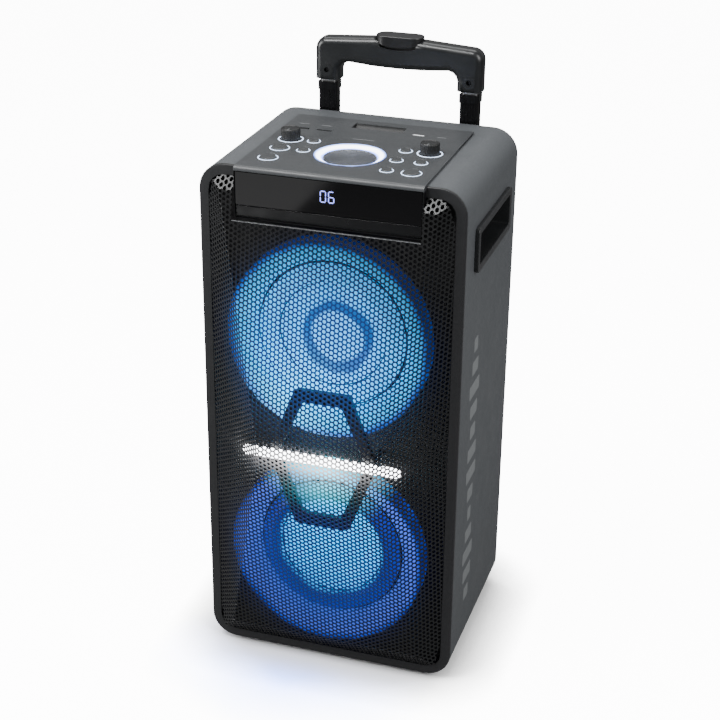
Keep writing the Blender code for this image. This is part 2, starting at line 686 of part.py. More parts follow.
def rounded_plate(name, outline, thickness, rounding, material, at, steps=4):
    """An upright plate of this outline whose front and rear edges are rounded."""
    bm = bmesh.new()
    turns = [math.pi / 2 * step / steps for step in range(steps + 1)]
    layers = []
    for turn in turns:
        layers.append((rounding * (1 - math.sin(turn)), rounding * (1 - math.cos(turn)) - thickness / 2))
    layers += [(inset, -depth) for inset, depth in reversed(layers)]
    loops = []
    for inset, depth in layers:
        loops.append([bm.verts.new((across, depth, up)) for across, up in inset_outline(outline, inset)])
    bm.faces.new(loops[0])
    bm.faces.new(reversed(loops[-1]))
    for first, second in zip(loops, loops[1:]):
        for index in range(len(outline)):
            bm.faces.new((first[index - 1], first[index], second[index], second[index - 1]))
    bmesh.ops.recalc_face_normals(bm, faces=bm.faces)
    return place(name, bm, material, at)


def release_pad(name, grow, sink, material=None):
    """A pad with a flat top and a smiling lower edge, oval from above; grow and sink make it its pocket."""
    across, deep = RELEASE_HALF
    top = RELEASE_TOP + grow * 20
    smile = []
    for step in range(18):
        share = math.cos(math.pi * step / 17)
        drop = 0.0030 + 0.0098 * math.sqrt(1 - share * share) + grow + sink
        smile.append(((across + 0.002) * share, RELEASE_TOP - drop))
    outline = [(-across - 0.002, top), (across + 0.002, top), *smile]
    pad = cut_from_sheet(name, [outline], 0.06, material, (0, RAIL_Y, 0), "front")
    low = (-across - grow, RAIL_Y - deep - grow, RELEASE_TOP - 0.04)
    high = (across + grow, RAIL_Y + deep + grow, RELEASE_TOP + 0.04)
    oval = block(name + "_oval", low, high, radius=0.0122 + grow, along="Z", segments=9)
    boolean(pad, oval, "INTERSECT")
    return pad


def make_grip():
    grip = rounded_plate("handle_grip", handle_outline(), HANDLE_DEPTH, HANDLE_ROUND, DARK, (0, RAIL_Y, 0))
    cut(grip, block("leg_trim", (-0.12, 0.20, LEG_LOW - 0.03), (0.12, 0.29, LEG_LOW)))
    front = RAIL_Y - HANDLE_DEPTH / 2
    for name, side in SIDES.items():
        boss = (side * RAIL_X, front + 0.0015, SCREW_HEIGHT + 0.002)
        join(grip, rod("boss_" + name, boss, 0.0076, 0.0040, facing="front", sides=28))
    cut(grip, release_pad("release_pocket", 0.0005, RELEASE_TRAVEL))
    for name, side in SIDES.items():
        size = (INNER_SIZE[0] + 0.0008, INNER_SIZE[1] + 0.0008)
        socket = tube_box(size, side, LEG_LOW - 0.01, INNER_HIGH + 0.001)
        cut(grip, block("leg_socket_" + name, *socket, radius=0.002, along="Z", segments=2))
        hole = (side * RAIL_X, front, SCREW_HEIGHT + 0.002)
        cut(grip, rod("screw_hole_" + name, hole, 0.0030, 0.0092, facing="front", sides=20))
        screw_profile = [(0, -0.0004), (0.0010, 0), (0.0020, 0), (0.0026, -0.0008), (0.0026, -0.0018), (0, -0.0018)]
        head = (side * RAIL_X, front + 0.0026, SCREW_HEIGHT + 0.002)
        turned(f"grip_screw_{name}", screw_profile, STEEL, head, "front", steps=16)
    release_pad("release_button", 0.0, 0.0, RUBBER)


def make_wheels():
    profile = [
        (AXLE_RADIUS + 0.0005, WHEEL_WIDTH / 2 - 0.001),
        (0.010, WHEEL_WIDTH / 2 - 0.001),
        (0.012, WHEEL_WIDTH / 2 - 0.004),
        (0.020, WHEEL_WIDTH / 2 - 0.004),
        (0.022, WHEEL_WIDTH / 2 - 0.001),
        (0.026, WHEEL_WIDTH / 2),
        (WHEEL_RADIUS, WHEEL_WIDTH / 2 - 0.004),
    ]
    outline = profile + [(radius, -height) for radius, height in reversed(profile)]
    for name, side in SIDES.items():
        wheel = turned(
            f"wheel_{name}", outline, RUBBER, (side * WHEEL_X, WHEEL_Y, WHEEL_Z), steps=28, ring=True
        )
        lying_spindle(wheel)
    axle_profile = [(0, 0.1080), (0.0030, 0.1080), (AXLE_RADIUS, 0.1070), (AXLE_RADIUS, -0.1070)]
    axle_profile += [(0.0030, -0.1080), (0, -0.1080)]
    lying_spindle(turned("wheel_axle", axle_profile, STEEL, (0, WHEEL_Y, WHEEL_Z), steps=16))


def make_feet():
    profile = [(0, -GAP), (FOOT_RADIUS, -GAP), (FOOT_RADIUS - 0.0015, -FOOT_HEIGHT), (0, -FOOT_HEIGHT)]
    for end, back_by in (("front", 0.030), ("rear", 0.180)):
        for name, side in SIDES.items():
            turned(f"foot_{end}_{name}", profile, RUBBER, (side * 0.102, back_by, 0), steps=20)


def make_rear():
    """Service panel with the bass port, the connection plate, the mains inlet and the power switch."""
    plate_back = REAR_WALL_OUT + 0.003
    half = PANEL_PLATE_HALF
    service = block("service_panel", (-half, REAR_WALL_OUT, 0.110), (half, plate_back, 0.530), BODY, 0.006)
    cut(service, rod("port_hole", (0, DEPTH, PORT_HEIGHT), PORT_RADIUS + 0.0035, 0.05, facing="front", sides=32))
    port_profile = [
        (PORT_RADIUS, 0.070),
        (PORT_RADIUS + 0.003, 0.070),
        (PORT_RADIUS + 0.003, -GAP),
        (PORT_RADIUS + 0.010, -GAP),
        (PORT_RADIUS + 0.010, -0.0025),
        (PORT_RADIUS + 0.004, -0.0040),
        (PORT_RADIUS, -0.0010),
    ]
    turned("bass_port", port_profile, DARK, (0, plate_back, PORT_HEIGHT), "front", steps=32, ring=True)
    low = (-0.048, plate_back + GAP, 0.130)
    plate = block("connection_plate", low, (0.048, plate_back + 0.0027, 0.290), DARK, 0.004)
    for index in range(4):
        jack = (-0.030 + 0.020 * index, plate_back + 0.0027, 0.250)
        cut(plate, rod(f"jack_{index}", jack, 0.0032, 0.003, facing="front", sides=16))
    inlet_low = (0.014, plate_back - 0.016, 0.146)
    inlet_high = (0.038, plate_back + 0.0042, 0.164)
    inlet = block("mains_inlet", inlet_low, inlet_high, DARK, 0.003)
    inlet_face = (0.018, plate_back - 0.0090, 0.151), (0.034, plate_back + 0.01, 0.159)
    cut(inlet, block("inlet_recess", *inlet_face, radius=0.0035, segments=3))
    inlet_hole = (0.0136, plate_back - 0.02, 0.1456), (0.0384, plate_back + 0.02, 0.1644)
    switch_hole = (-0.0374, plate_back - 0.02, 0.1452), (-0.0226, plate_back + 0.02, 0.1648)
    for target, name in ((service, "service"), (plate, "plate")):
        cut(target, block(f"inlet_hole_{name}", *inlet_hole), block(f"switch_hole_{name}", *switch_hole))
    low = (-0.0365, plate_back - 0.0030, 0.1460)
    high = (-0.0235, plate_back + 0.0050, 0.1640)
    block("power_switch", low, high, RUBBER, 0.002, "X", segments=2)


def make_insides():
    """Battery pack, power supply board and amplifier board, each with its larger components."""
    floor = WALL + GAP
    battery = block("battery_pack", (-0.060, 0.110, floor), (0.060, 0.180, 0.062), CELLS, 0.008, "X", segments=3)
    soften(battery, 0.001, 1)
    supply = block("power_supply_board", (-0.060, 0.112, 0.0665), (0.060, 0.178, 0.0681), CIRCUIT)
    join(supply, block("transformer", (-0.045, 0.125, 0.0675), (-0.010, 0.160, 0.098), radius=0.003, along="Z", segments=2))
    join(supply, block("supply_stand", (0.048, 0.120, floor + 0.0590), (0.056, 0.128, 0.0670)))
    for index in range(2):
        can = (0.012 + 0.026 * index, 0.145, 0.079)
        join(supply, rod(f"supply_can_{index}", can, 0.009, 0.024, sides=16))
    amplifier = block("amplifier_board", (-0.052, 0.196, 0.170), (0.052, 0.1976, 0.310), CIRCUIT)
    join(amplifier, block("heat_sink_foot", (-0.044, 0.176, 0.215), (0.044, 0.197, 0.220)))
    for index in range(8):
        fin = -0.044 + 0.0121 * index
        join(amplifier, block(f"fin_{index}", (fin, 0.176, 0.219), (fin + 0.003, 0.1965, 0.290)))
    for index in range(3):
        can = (-0.030 + 0.030 * index, 0.186, 0.190)
        join(amplifier, rod(f"amplifier_can_{index}", can, 0.008, 0.022, facing="front", sides=16))


make_cabinet()
make_bezel()
make_grille()
make_baffle()
for driver, driver_height in DRIVER_HEIGHTS.items():
    make_driver(driver, driver_height)
make_front_trim()
make_panel()
make_controls()
make_side_grips()
make_rails()
make_grip()
make_wheels()
make_feet()
make_rear()
make_insides()
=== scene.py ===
"""Looks of the party speaker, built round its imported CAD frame. Metres, +Z up, the grille faces -Y."""

import json
import math

import bmesh
import bpy
import numpy as np
from mathutils import Matrix, Vector


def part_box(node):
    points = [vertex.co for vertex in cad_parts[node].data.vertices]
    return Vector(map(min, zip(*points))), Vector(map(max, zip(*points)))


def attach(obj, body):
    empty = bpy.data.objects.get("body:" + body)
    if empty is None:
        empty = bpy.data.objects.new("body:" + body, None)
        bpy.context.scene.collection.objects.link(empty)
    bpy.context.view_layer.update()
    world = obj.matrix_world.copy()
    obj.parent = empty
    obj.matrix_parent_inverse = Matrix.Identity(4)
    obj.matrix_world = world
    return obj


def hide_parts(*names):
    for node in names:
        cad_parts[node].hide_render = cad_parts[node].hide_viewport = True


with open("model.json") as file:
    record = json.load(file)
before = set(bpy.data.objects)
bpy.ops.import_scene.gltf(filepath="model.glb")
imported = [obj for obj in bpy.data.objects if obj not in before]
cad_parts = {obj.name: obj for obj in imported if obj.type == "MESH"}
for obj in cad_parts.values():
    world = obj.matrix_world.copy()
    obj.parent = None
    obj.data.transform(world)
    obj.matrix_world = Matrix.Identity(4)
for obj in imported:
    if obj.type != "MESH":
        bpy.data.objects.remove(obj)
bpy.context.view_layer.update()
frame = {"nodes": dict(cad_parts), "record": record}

BODY_OF = {node: body for body, nodes in frame["record"]["behaviour"]["bodies"].items() for node in nodes}

# Cabinet coordinates: Y back from the bezel's face, Z up from the cabinet's underside
BEZEL_LOW, BEZEL_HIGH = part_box("front_bezel")
BASE = Vector((0.0, BEZEL_LOW.y, BEZEL_LOW.z))
HALF_WIDTH = BEZEL_HIGH.x
PANEL_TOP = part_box("control_panel")[1].z - BASE.z
LARGE_BUTTONS = ("button_bass", "button_pair", "button_power")
BUTTONS = sorted(node for node in BODY_OF if node.startswith("button_"))
SIDES = {"left": -1, "right": 1}
UPPER_HEIGHT = 0.405
LOWER_HEIGHT = 0.1425


def at(x, y, z):
    """A point of the cabinet's own coordinates, in the frame."""
    return Vector((x, y, z)) + BASE


def middle(node):
    low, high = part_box(node)
    return (low + high) / 2


BAR_HEIGHT = middle("light_bar").z - BASE.z

# ---------------------------------------------------------------- materials

# Radius of the paler edges, partly wear and partly a painted highlight
EDGE_WEAR_AND_HIGHLIGHT = 0.0008
GRAIN_RELIEF = 0.0002
BLACK = (0.0, 0.0, 0.0, 1.0)


def node(tree, kind, inputs=None, **settings):
    made = tree.nodes.new(kind)
    for key, value in settings.items():
        setattr(made, key, value)
    for socket, value in (inputs or {}).items():
        if isinstance(value, bpy.types.NodeSocket):
            tree.links.new(value, made.inputs[socket])
        else:
            made.inputs[socket].default_value = value
    return made


def blank(name):
    material = bpy.data.materials.new(name)
    material.use_nodes = True
    return material, material.node_tree, material.node_tree.nodes["Principled BSDF"]


def shade(colour, factor):
    return (*(min(1.0, part * factor) for part in colour), 1.0)


def place_of(tree):
    return node(tree, "ShaderNodeTexCoord").outputs["Object"]


def noise(tree, scale, detail=2.0, stretch=None):
    where = place_of(tree)
    if stretch:
        where = node(tree, "ShaderNodeMapping", {"Vector": where, "Scale": stretch}).outputs["Vector"]
    sockets = {"Vector": where, "Scale": scale, "Detail": detail}
    return node(tree, "ShaderNodeTexNoise", sockets).outputs["Fac"]


def ranged(tree, value, low, high, to_low, to_high):
    sockets = {"Value": value, "From Min": low, "From Max": high, "To Min": to_low, "To Max": to_high}
    return node(tree, "ShaderNodeMapRange", sockets).outputs["Result"]


def computed(tree, operation, *values):
    """The result of a Math node."""
    return node(tree, "ShaderNodeMath", dict(enumerate(values)), operation=operation).outputs[0]


def mixed(tree, factor, first, second, blend_type="MIX"):
    mix = node(tree, "ShaderNodeMix", data_type="RGBA", blend_type=blend_type)
    for index, value in ((0, factor), (6, first), (7, second)):
        if isinstance(value, bpy.types.NodeSocket):
            tree.links.new(value, mix.inputs[index])
        else:
            mix.inputs[index].default_value = value
    return mix.outputs[2]


def edge_mask(tree, radius):
    """1 on sharp outer and inner edges, 0 on flat faces."""
    rounded = node(tree, "ShaderNodeBevel", {"Radius": radius}, samples=4).outputs["Normal"]
    true = node(tree, "ShaderNodeNewGeometry").outputs["Normal"]
    dot = node(tree, "ShaderNodeVectorMath", {0: rounded, 1: true}, operation="DOT_PRODUCT")
    return ranged(tree, dot.outputs["Value"], 0.995, 0.80, 0.0, 1.0)


def surface(
    name,
    colour,
    roughness,
    grain=1400.0,
    bump=0.10,
    spread=0.05,
    edge=0.0,
    metallic=0.0,
    stretch=None,
    rough_spread=0.06,
    specular=0.5,
    speckle=0.25,
    edge_gain=2.6,
):
    """Moulded, painted or brushed stuff: cloudy colour, fine grain, uneven gloss, and paler edges that are
    partly wear and partly a painted highlight.
    """
    material, tree, shader = blank(name)
    cloud = noise(tree, 16.0, 4.0)
    fine = noise(tree, grain, 2.0, stretch)
    tint = mixed(tree, cloud, shade(colour, 1 - spread), shade(colour, 1 + spread))
    speck = ranged(tree, fine, 0.35, 0.70, 0.0, 1.0)
    tint = mixed(tree, speck, tint, shade(colour, 1 + 2 * speckle))
    if edge:
        # Paler sharp edges: partly wear, partly a painted highlight
        wear_and_highlight = computed(tree, "MULTIPLY", edge_mask(tree, EDGE_WEAR_AND_HIGHLIGHT), edge)
        tint = mixed(tree, wear_and_highlight, tint, shade(colour, edge_gain))
    tree.links.new(tint, shader.inputs["Base Color"])
    matt, glossy = roughness + rough_spread, roughness - rough_spread
    gloss = ranged(tree, noise(tree, 40.0, 5.0), 0.3, 0.7, glossy, matt)
    tree.links.new(gloss, shader.inputs["Roughness"])
    height = node(tree, "ShaderNodeBump", {"Strength": bump, "Distance": GRAIN_RELIEF, "Height": fine})
    tree.links.new(height.outputs["Normal"], shader.inputs["Normal"])
    shader.inputs["Metallic"].default_value = metallic
    shader.inputs["Specular IOR Level"].default_value = specular
    return material


def radial_glow(name, centre_height, sag, reach, stops, pull, dimmest, strength, painted_glow_patch):
    """Painted light of a driver's LED ring, used on the ring and on the surround and cone, which are no
    lamps: it changes with the distance from the driver's axis, and painted shade darkens it against the pull
    direction.

    The innermost rings sit lower by the sag. The painted glow patch is a (place, keep, reach, colour) of its
    own, painted light round a place.
    """
    material, tree, shader = blank(name)
    outer = distance_from(tree, at(0, 0, centre_height), (1, 0, 1))
    inner = distance_from(tree, at(0, 0, centre_height - sag), (1, 0, 1))
    share = ranged(tree, inner, 0.045, 0.080, 0.0, 1.0)
    wobble = ranged(tree, noise(tree, 30.0, 2.0), 0.3, 0.7, -0.0015, 0.0015)
    distance = computed(tree, "MULTIPLY_ADD", computed(tree, "SUBTRACT", outer, inner), share, inner)
    distance = computed(tree, "ADD", distance, wobble)
    ramp = node(tree, "ShaderNodeValToRGB", {"Fac": ranged(tree, distance, 0.0, reach, 0.0, 1.0)})
    ramp.color_ramp.elements[0].position = stops[0][0] / reach
    ramp.color_ramp.elements[0].color = (*stops[0][1], 1.0)
    ramp.color_ramp.elements[1].position = stops[-1][0] / reach
    ramp.color_ramp.elements[1].color = (*stops[-1][1], 1.0)
    for radius, colour in stops[1:-1]:
        ramp.color_ramp.elements.new(radius / reach).color = (*colour, 1.0)
    # Painted shade: darker against the pull direction
    centre = at(0, 0, centre_height)
    offset = node(tree, "ShaderNodeVectorMath", {0: place_of(tree), 1: centre}, operation="SUBTRACT")
    lean = node(tree, "ShaderNodeVectorMath", {0: offset.outputs[0], 1: pull}, operation="DOT_PRODUCT")
    level = ranged(tree, lean.outputs["Value"], -reach, reach, dimmest, 1.0)
    cloud = ranged(tree, noise(tree, 22.0, 3.0), 0.3, 0.7, 0.85, 1.12)
    glow = mixed(tree, 1.0, ramp.outputs["Color"], computed(tree, "MULTIPLY", level, cloud), "MULTIPLY")
    place, keep, far, colour = painted_glow_patch
    # Painted light round a given place, added to the glow
    near = ranged(tree, distance_from(tree, place, keep), 0.0, far, 1.0, 0.0)
    near = computed(tree, "POWER", near, 1.5)
    glow = mixed(tree, 1.0, glow, mixed(tree, near, BLACK, (*colour, 1.0)), "ADD")
    tree.links.new(glow, shader.inputs["Emission Color"])
    tree.links.new(mixed(tree, 0.8, glow, (0.02, 0.02, 0.03, 1.0)), shader.inputs["Base Color"])
    shader.inputs["Emission Strength"].default_value = strength
    shader.inputs["Roughness"].default_value = 0.5
    return material


def light_guide(name, colour, strength):
    """A translucent light guide, with the faint hot spots of the lamps in it."""
    material, tree, shader = blank(name)
    spots = ranged(tree, noise(tree, 60.0, 2.0), 0.3, 0.7, 0.0, 1.0)
    tint = mixed(tree, spots, shade(colour, 0.85), shade(colour, 1.0))
    tree.links.new(tint, shader.inputs["Emission Color"])
    tree.links.new(tint, shader.inputs["Base Color"])
    shader.inputs["Emission Strength"].default_value = strength
    shader.inputs["Roughness"].default_value = 0.35
    return material


def distance_from(tree, centre, keep):
    """Distance from a centre in the frame; keep weighs the three axes."""
    offset = node(tree, "ShaderNodeVectorMath", {0: place_of(tree), 1: centre}, operation="SUBTRACT")
    kept = node(tree, "ShaderNodeVectorMath", {0: offset.outputs[0], 1: keep}, operation="MULTIPLY")
    return node(tree, "ShaderNodeVectorMath", {0: kept.outputs[0]}, operation="LENGTH").outputs["Value"]


def sheet_with_painted_glow():
    """Painted sheet, with the light of the rings and the bar behind it painted on as glow."""
    material = surface("grille_sheet", (0.012, 0.0125, 0.013), 0.36, grain=2500, bump=0.05, metallic=0.35)
    tree = material.node_tree
    shader = tree.nodes["Principled BSDF"]
    glow = None
    # Each row paints glow on the webs: centre height, width weight, near and far reach, fall-off power and
    # colour
    for centre_height, width, near, far, fall, colour in (
        (UPPER_HEIGHT, 1.0, 0.060, 0.140, 2.0, (0.000, 0.034, 0.190, 1.0)),
        (LOWER_HEIGHT, 1.0, 0.060, 0.135, 2.0, (0.001, 0.014, 0.130, 1.0)),
        (BAR_HEIGHT + 0.006, 0.22, 0.004, 0.026, 3.0, (1.500, 1.430, 1.430, 1.0)),
        (BAR_HEIGHT, 0.34, 0.006, 0.036, 2.0, (0.240, 0.260, 0.300, 1.0)),
        (BAR_HEIGHT - 0.026, 0.55, 0.002, 0.036, 2.0, (0.020, 0.300, 0.360, 1.0)),
    ):
        distance = distance_from(tree, at(0, 0, centre_height), (width, 0, 1))
        level = computed(tree, "POWER", ranged(tree, distance, near, far, 1.0, 0.0), fall)
        share = mixed(tree, level, BLACK, colour)
        glow = mixed(tree, 1.0, glow, share, "ADD") if glow else share
    tree.links.new(glow, shader.inputs["Emission Color"])
    shader.inputs["Emission Strength"].default_value = 1.0
    return material


def low_tone_and_slot_shade(material, colour, height, slot_height, slot_front):
    """Paints a piece in another colour below a height, and paints shade in that colour below a greater one
    in the slots at the rear.
    """
    tree = material.node_tree
    shader = tree.nodes["Principled BSDF"]
    place = node(tree, "ShaderNodeSeparateXYZ", {0: place_of(tree)})
    edge = at(0, slot_front, height)
    slot_edge = at(0, 0, slot_height).z
    below = ranged(tree, place.outputs["Z"], edge.z, edge.z - 0.0006, 0.0, 1.0)
    # Painted shade in the slots at the rear
    slot_shade = ranged(tree, place.outputs["Z"], slot_edge, slot_edge - 0.0004, 0.0, 1.0)
    behind = ranged(tree, place.outputs["Y"], edge.y, edge.y + 0.001, 0.0, 1.0)
    either = computed(tree, "MAXIMUM", below, computed(tree, "MULTIPLY", slot_shade, behind))
    first = shader.inputs["Base Color"].links[0].from_socket
    tree.links.new(mixed(tree, either, first, shade(colour, 1.0)), shader.inputs["Base Color"])
    return material


BODY = surface("body_plastic", (0.064, 0.069, 0.074), 0.50, grain=1900, bump=0.25, spread=0.05, edge=0.5)
# Darker below the lip, with painted shade in the slots at the rear
PANEL = low_tone_and_slot_shade(
    surface("panel_plastic", (0.034, 0.0365, 0.039), 0.42, grain=1800, bump=0.16, spread=0.05, edge=0.5),
    (0.0030, 0.0034, 0.0038), 0.5825, PANEL_TOP - 0.0006, 0.128,
)
# The rims' far paler edges are a painted highlight
RIM = surface("rim_plastic", (0.0110, 0.0117, 0.0125), 0.36, grain=1500, bump=0.12, edge=1.0, edge_gain=9.0)
LINER = surface("slot_liner", (0.0030, 0.0031, 0.0033), 0.50, grain=1500, bump=0.12)
BEZEL = surface("bezel_plastic", (0.0125, 0.013, 0.014), 0.42, grain=1800, bump=0.12, edge=0.5)
DARK = surface("dark_plastic", (0.0075, 0.008, 0.0085), 0.42, grain=1500, bump=0.12, edge=0.5)
GRIP = surface("grip_plastic", (0.0072, 0.0080, 0.0088), 0.33, grain=1100, bump=0.08, edge=0.25)
SHEET = sheet_with_painted_glow()
# The hem is the sheet's metal, painted much paler as a highlight
HEM_HIGHLIGHT = surface("sheet_edge_painted_highlight", (0.080, 0.083, 0.086), 0.35, grain=900, bump=0.10, metallic=0.5, speckle=0.4)
GLASS = surface(
    "display_window", (0.0004, 0.0004, 0.0006), 0.06, grain=300, bump=0.004, rough_spread=0.02, specular=0.4,
)
STRIP = surface("fascia_strip", (0.0020, 0.0023, 0.0026), 0.22, grain=900, bump=0.05, edge=0.4)
TUBE = surface(
    "anodised_tube", (0.0060, 0.0060, 0.0068), 0.28, grain=500, bump=0.05, metallic=0.6,
    stretch=(1, 1, 0.02), edge=0.2,
)
STEEL = surface(
    "brushed_steel", (0.50, 0.50, 0.51), 0.30, grain=700, bump=0.06, metallic=1.0,
    stretch=(1, 1, 0.02), speckle=0.06,
)
NICKEL = surface("nickel", (0.55, 0.53, 0.50), 0.25, grain=900, bump=0.03, metallic=1.0, speckle=0.05)
BLACK_STEEL = surface("blackened_steel", (0.030, 0.030, 0.032), 0.30, grain=900, bump=0.05, metallic=0.8)
RUBBER = surface("rubber", (0.012, 0.012, 0.013), 0.75, grain=900, bump=0.25, spread=0.12, edge=0.25)
PAD = surface("soft_pad", (0.0060, 0.0062, 0.0068), 0.36, grain=900, bump=0.12, edge=0.25)
CHIPBOARD = surface("painted_chipboard", (0.008, 0.008, 0.008), 0.85, grain=350, bump=0.5, spread=0.3)
HUB = surface("wheel_hub", (0.050, 0.052, 0.055), 0.45, grain=1200, bump=0.12, edge=0.3)
BUTTON = surface("button_plastic", (0.032, 0.034, 0.036), 0.40, grain=1500, bump=0.12, edge=0.4)
MARK = surface("printed_mark", (0.13, 0.135, 0.14), 0.55, grain=1500, bump=0.05, speckle=0.08)
BRIGHT_MARK = surface("bright_mark", (0.80, 0.82, 0.84), 0.55, grain=1500, bump=0.05, speckle=0.05)
SIDE_MARK = surface("side_mark", (0.170, 0.180, 0.185), 0.40, grain=1500, bump=0.08, speckle=0.10)
CIRCUIT = surface("solder_mask", (0.010, 0.090, 0.035), 0.35, grain=260, bump=0.35, spread=0.25)
WRAP = surface("battery_wrap", (0.015, 0.045, 0.150), 0.35, grain=200, bump=0.15, spread=0.1)

# Colours of the drivers' light at distances from their axes, painted on the rings and on the surrounds and
# cones, which are no lamps
AZURE_STOPS = [
    (0.000, (0.070, 0.42, 1.00)),
    (0.029, (0.070, 0.42, 1.00)),
    (0.032, (0.000, 0.060, 0.26)),
    (0.039, (0.000, 0.070, 0.28)),
    (0.042, (0.040, 0.40, 0.98)),
    (0.066, (0.045, 0.44, 1.00)),
    (0.084, (0.004, 0.35, 0.86)),
    (0.098, (0.000, 0.29, 0.62)),
    (0.105, (0.000, 0.20, 0.52)),
    (0.108, (0.000, 0.06, 0.34)),
    (0.112, (0.000, 0.01, 0.10)),
]
BLUE_STOPS = [
    (0.000, (0.001, 0.42, 0.96)),
    (0.044, (0.001, 0.40, 0.94)),
    (0.058, (0.000, 0.25, 0.66)),
    (0.063, (0.001, 0.008, 0.10)),
    (0.081, (0.002, 0.008, 0.18)),
    (0.086, (0.018, 0.052, 0.36)),
    (0.104, (0.024, 0.058, 0.40)),
    (0.109, (0.004, 0.022, 0.26)),
    (0.112, (0.001, 0.004, 0.06)),
]
UPPER_GLOW = radial_glow(
    "upper_glow", UPPER_HEIGHT - 0.0015, 0.0085, 0.112, AZURE_STOPS, (-0.45, 0, -0.9), 0.26, 3.9,
    (at(-0.045, 0, BAR_HEIGHT + 0.045), (1, 0, 1), 0.085, (0.07, 0.26, 0.34)),
)
LOWER_GLOW = radial_glow(
    "lower_glow", LOWER_HEIGHT, 0.0, 0.112, BLUE_STOPS, (0.1, 0, 1.0), 0.55, 4.0,
    (at(0.0, 0, BAR_HEIGHT - 0.028), (0.9, 0, 1), 0.072, (0.03, 0.80, 0.92)),
)
WHITE_BAR = light_guide("white_bar", (0.95, 0.97, 1.00), 14.0)
KEY_GLOW = light_guide("key_glow", (0.62, 0.76, 1.00), 2.6)
DIGIT_GLOW = light_guide("digit_glow", (0.30, 0.34, 1.00), 3.0)


# ---------------------------------------------------------------- making pieces


def settle(name, bm, material, body, replaced=(), smooth=35.0, soft=0.0, segments=3):
    """Turns a mesh into a piece that rides on a body, shaded smooth below an angle."""
    mesh = bpy.data.meshes.new(name)
    bmesh.ops.recalc_face_normals(bm, faces=bm.faces)
    bm.to_mesh(mesh)
    bm.free()
    mesh.materials.append(material)
    mesh.shade_smooth()
    mesh.set_sharp_from_angle(angle=math.radians(smooth))
    piece = bpy.data.objects.new(name, mesh)
    bpy.context.scene.collection.objects.link(piece)
    if soft:
        bevel = piece.modifiers.new("soften", "BEVEL")
        bevel.width = soft
        bevel.segments = segments
        bevel.limit_method = "ANGLE"
        bevel.angle_limit = math.radians(40)
    even = piece.modifiers.new("even_faces", "WEIGHTED_NORMAL")
    even.keep_sharp = True
    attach(piece, body)
    if replaced:
        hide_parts(*replaced)
    return piece


def dress(name, material, smooth=35.0, soft=0.0):
    """Stands in for a CAD node: the same solid with its facets welded and shaded smooth."""
    bm = bmesh.new()
    bm.from_mesh(frame["nodes"][name].data)
    bmesh.ops.remove_doubles(bm, verts=bm.verts, dist=2e-6)
    bmesh.ops.dissolve_limit(bm, angle_limit=math.radians(0.4), verts=bm.verts, edges=bm.edges)
    return settle(name + "_skin", bm, material, BODY_OF[name], (name,), smooth, soft)


def slotted(piece):
    return piece


def cuboid(bm, low, high, radius=0.0, along="Z", segments=4):
    """Adds a box between two corners of the frame, its edges along one axis rounded."""
    low, high = Vector(low), Vector(high)
    made = bmesh.ops.create_cube(bm, size=1.0)["verts"]
    bmesh.ops.scale(bm, vec=high - low, verts=made)
    bmesh.ops.translate(bm, vec=(low + high) / 2, verts=made)
    if radius:
        across = "XYZ".index(along)
        edges = {edge for vert in made for edge in vert.link_edges}
        runs = [(edge, edge.verts[0].co - edge.verts[1].co) for edge in edges]
        chosen = [edge for edge, run in runs if abs(run[across]) > 0.5 * run.length]
        bmesh.ops.bevel(bm, geom=chosen, offset=radius, segments=segments, profile=0.5, affect="EDGES")


FACING = {
    "up": Matrix.Identity(3),
    "front": Matrix.Rotation(math.pi / 2, 3, "X"),
    "rear": Matrix.Rotation(-math.pi / 2, 3, "X"),
    "right": Matrix.Rotation(math.pi / 2, 3, "Y"),
    "left": Matrix.Rotation(-math.pi / 2, 3, "Y"),
    "down": Matrix.Rotation(math.pi, 3, "X"),
}


def lathe(bm, profile, centre, facing="up", steps=48, closed=False, wave=None):
    """Adds a turned shape: (radius, height) points from top to bottom. wave(angle) varies the radius."""
    turn = FACING[facing]
    rings = []
    for radius, height in profile:
        if radius == 0:
            rings.append([bm.verts.new(Vector(centre) + turn @ Vector((0, 0, height)))])
            continue
        ring = []
        for step in range(steps):
            angle = 2 * math.pi * step / steps
            reach = radius + (wave(angle, radius, height) if wave else 0.0)
            spoke = Vector((reach * math.cos(angle), reach * math.sin(angle), height))
            ring.append(bm.verts.new(Vector(centre) + turn @ spoke))
        rings.append(ring)
    pairs = list(zip(rings, rings[1:]))
    if closed:
        pairs.append((rings[-1], rings[0]))
    for first, second in pairs:
        for step in range(steps):
            after = (step + 1) % steps
            if len(first) == 1:
                bm.faces.new((first[0], second[step], second[after]))
            elif len(second) == 1:
                bm.faces.new((first[step], second[0], first[after]))
            else:
                bm.faces.new((first[step], second[step], second[after], first[after]))


def hollow_prism(bm, outer, inner, low, high, place):
    """Adds a tube between two heights; place(u, v, height) gives a point of the frame.

    The outer and inner outlines have the same number of points.
    """
    rings = []
    for line, height in ((outer, low), (outer, high), (inner, high), (inner, low)):
        rings.append([bm.verts.new(place(u, v, height)) for u, v in line])
    count = len(outer)
    for index in range(count):
        after = (index + 1) % count
        for first, second in zip(rings, rings[1:] + rings[:1]):
            bm.faces.new((first[index], first[after], second[after], second[index]))


# ---------------------------------------------------------------- perforated grille

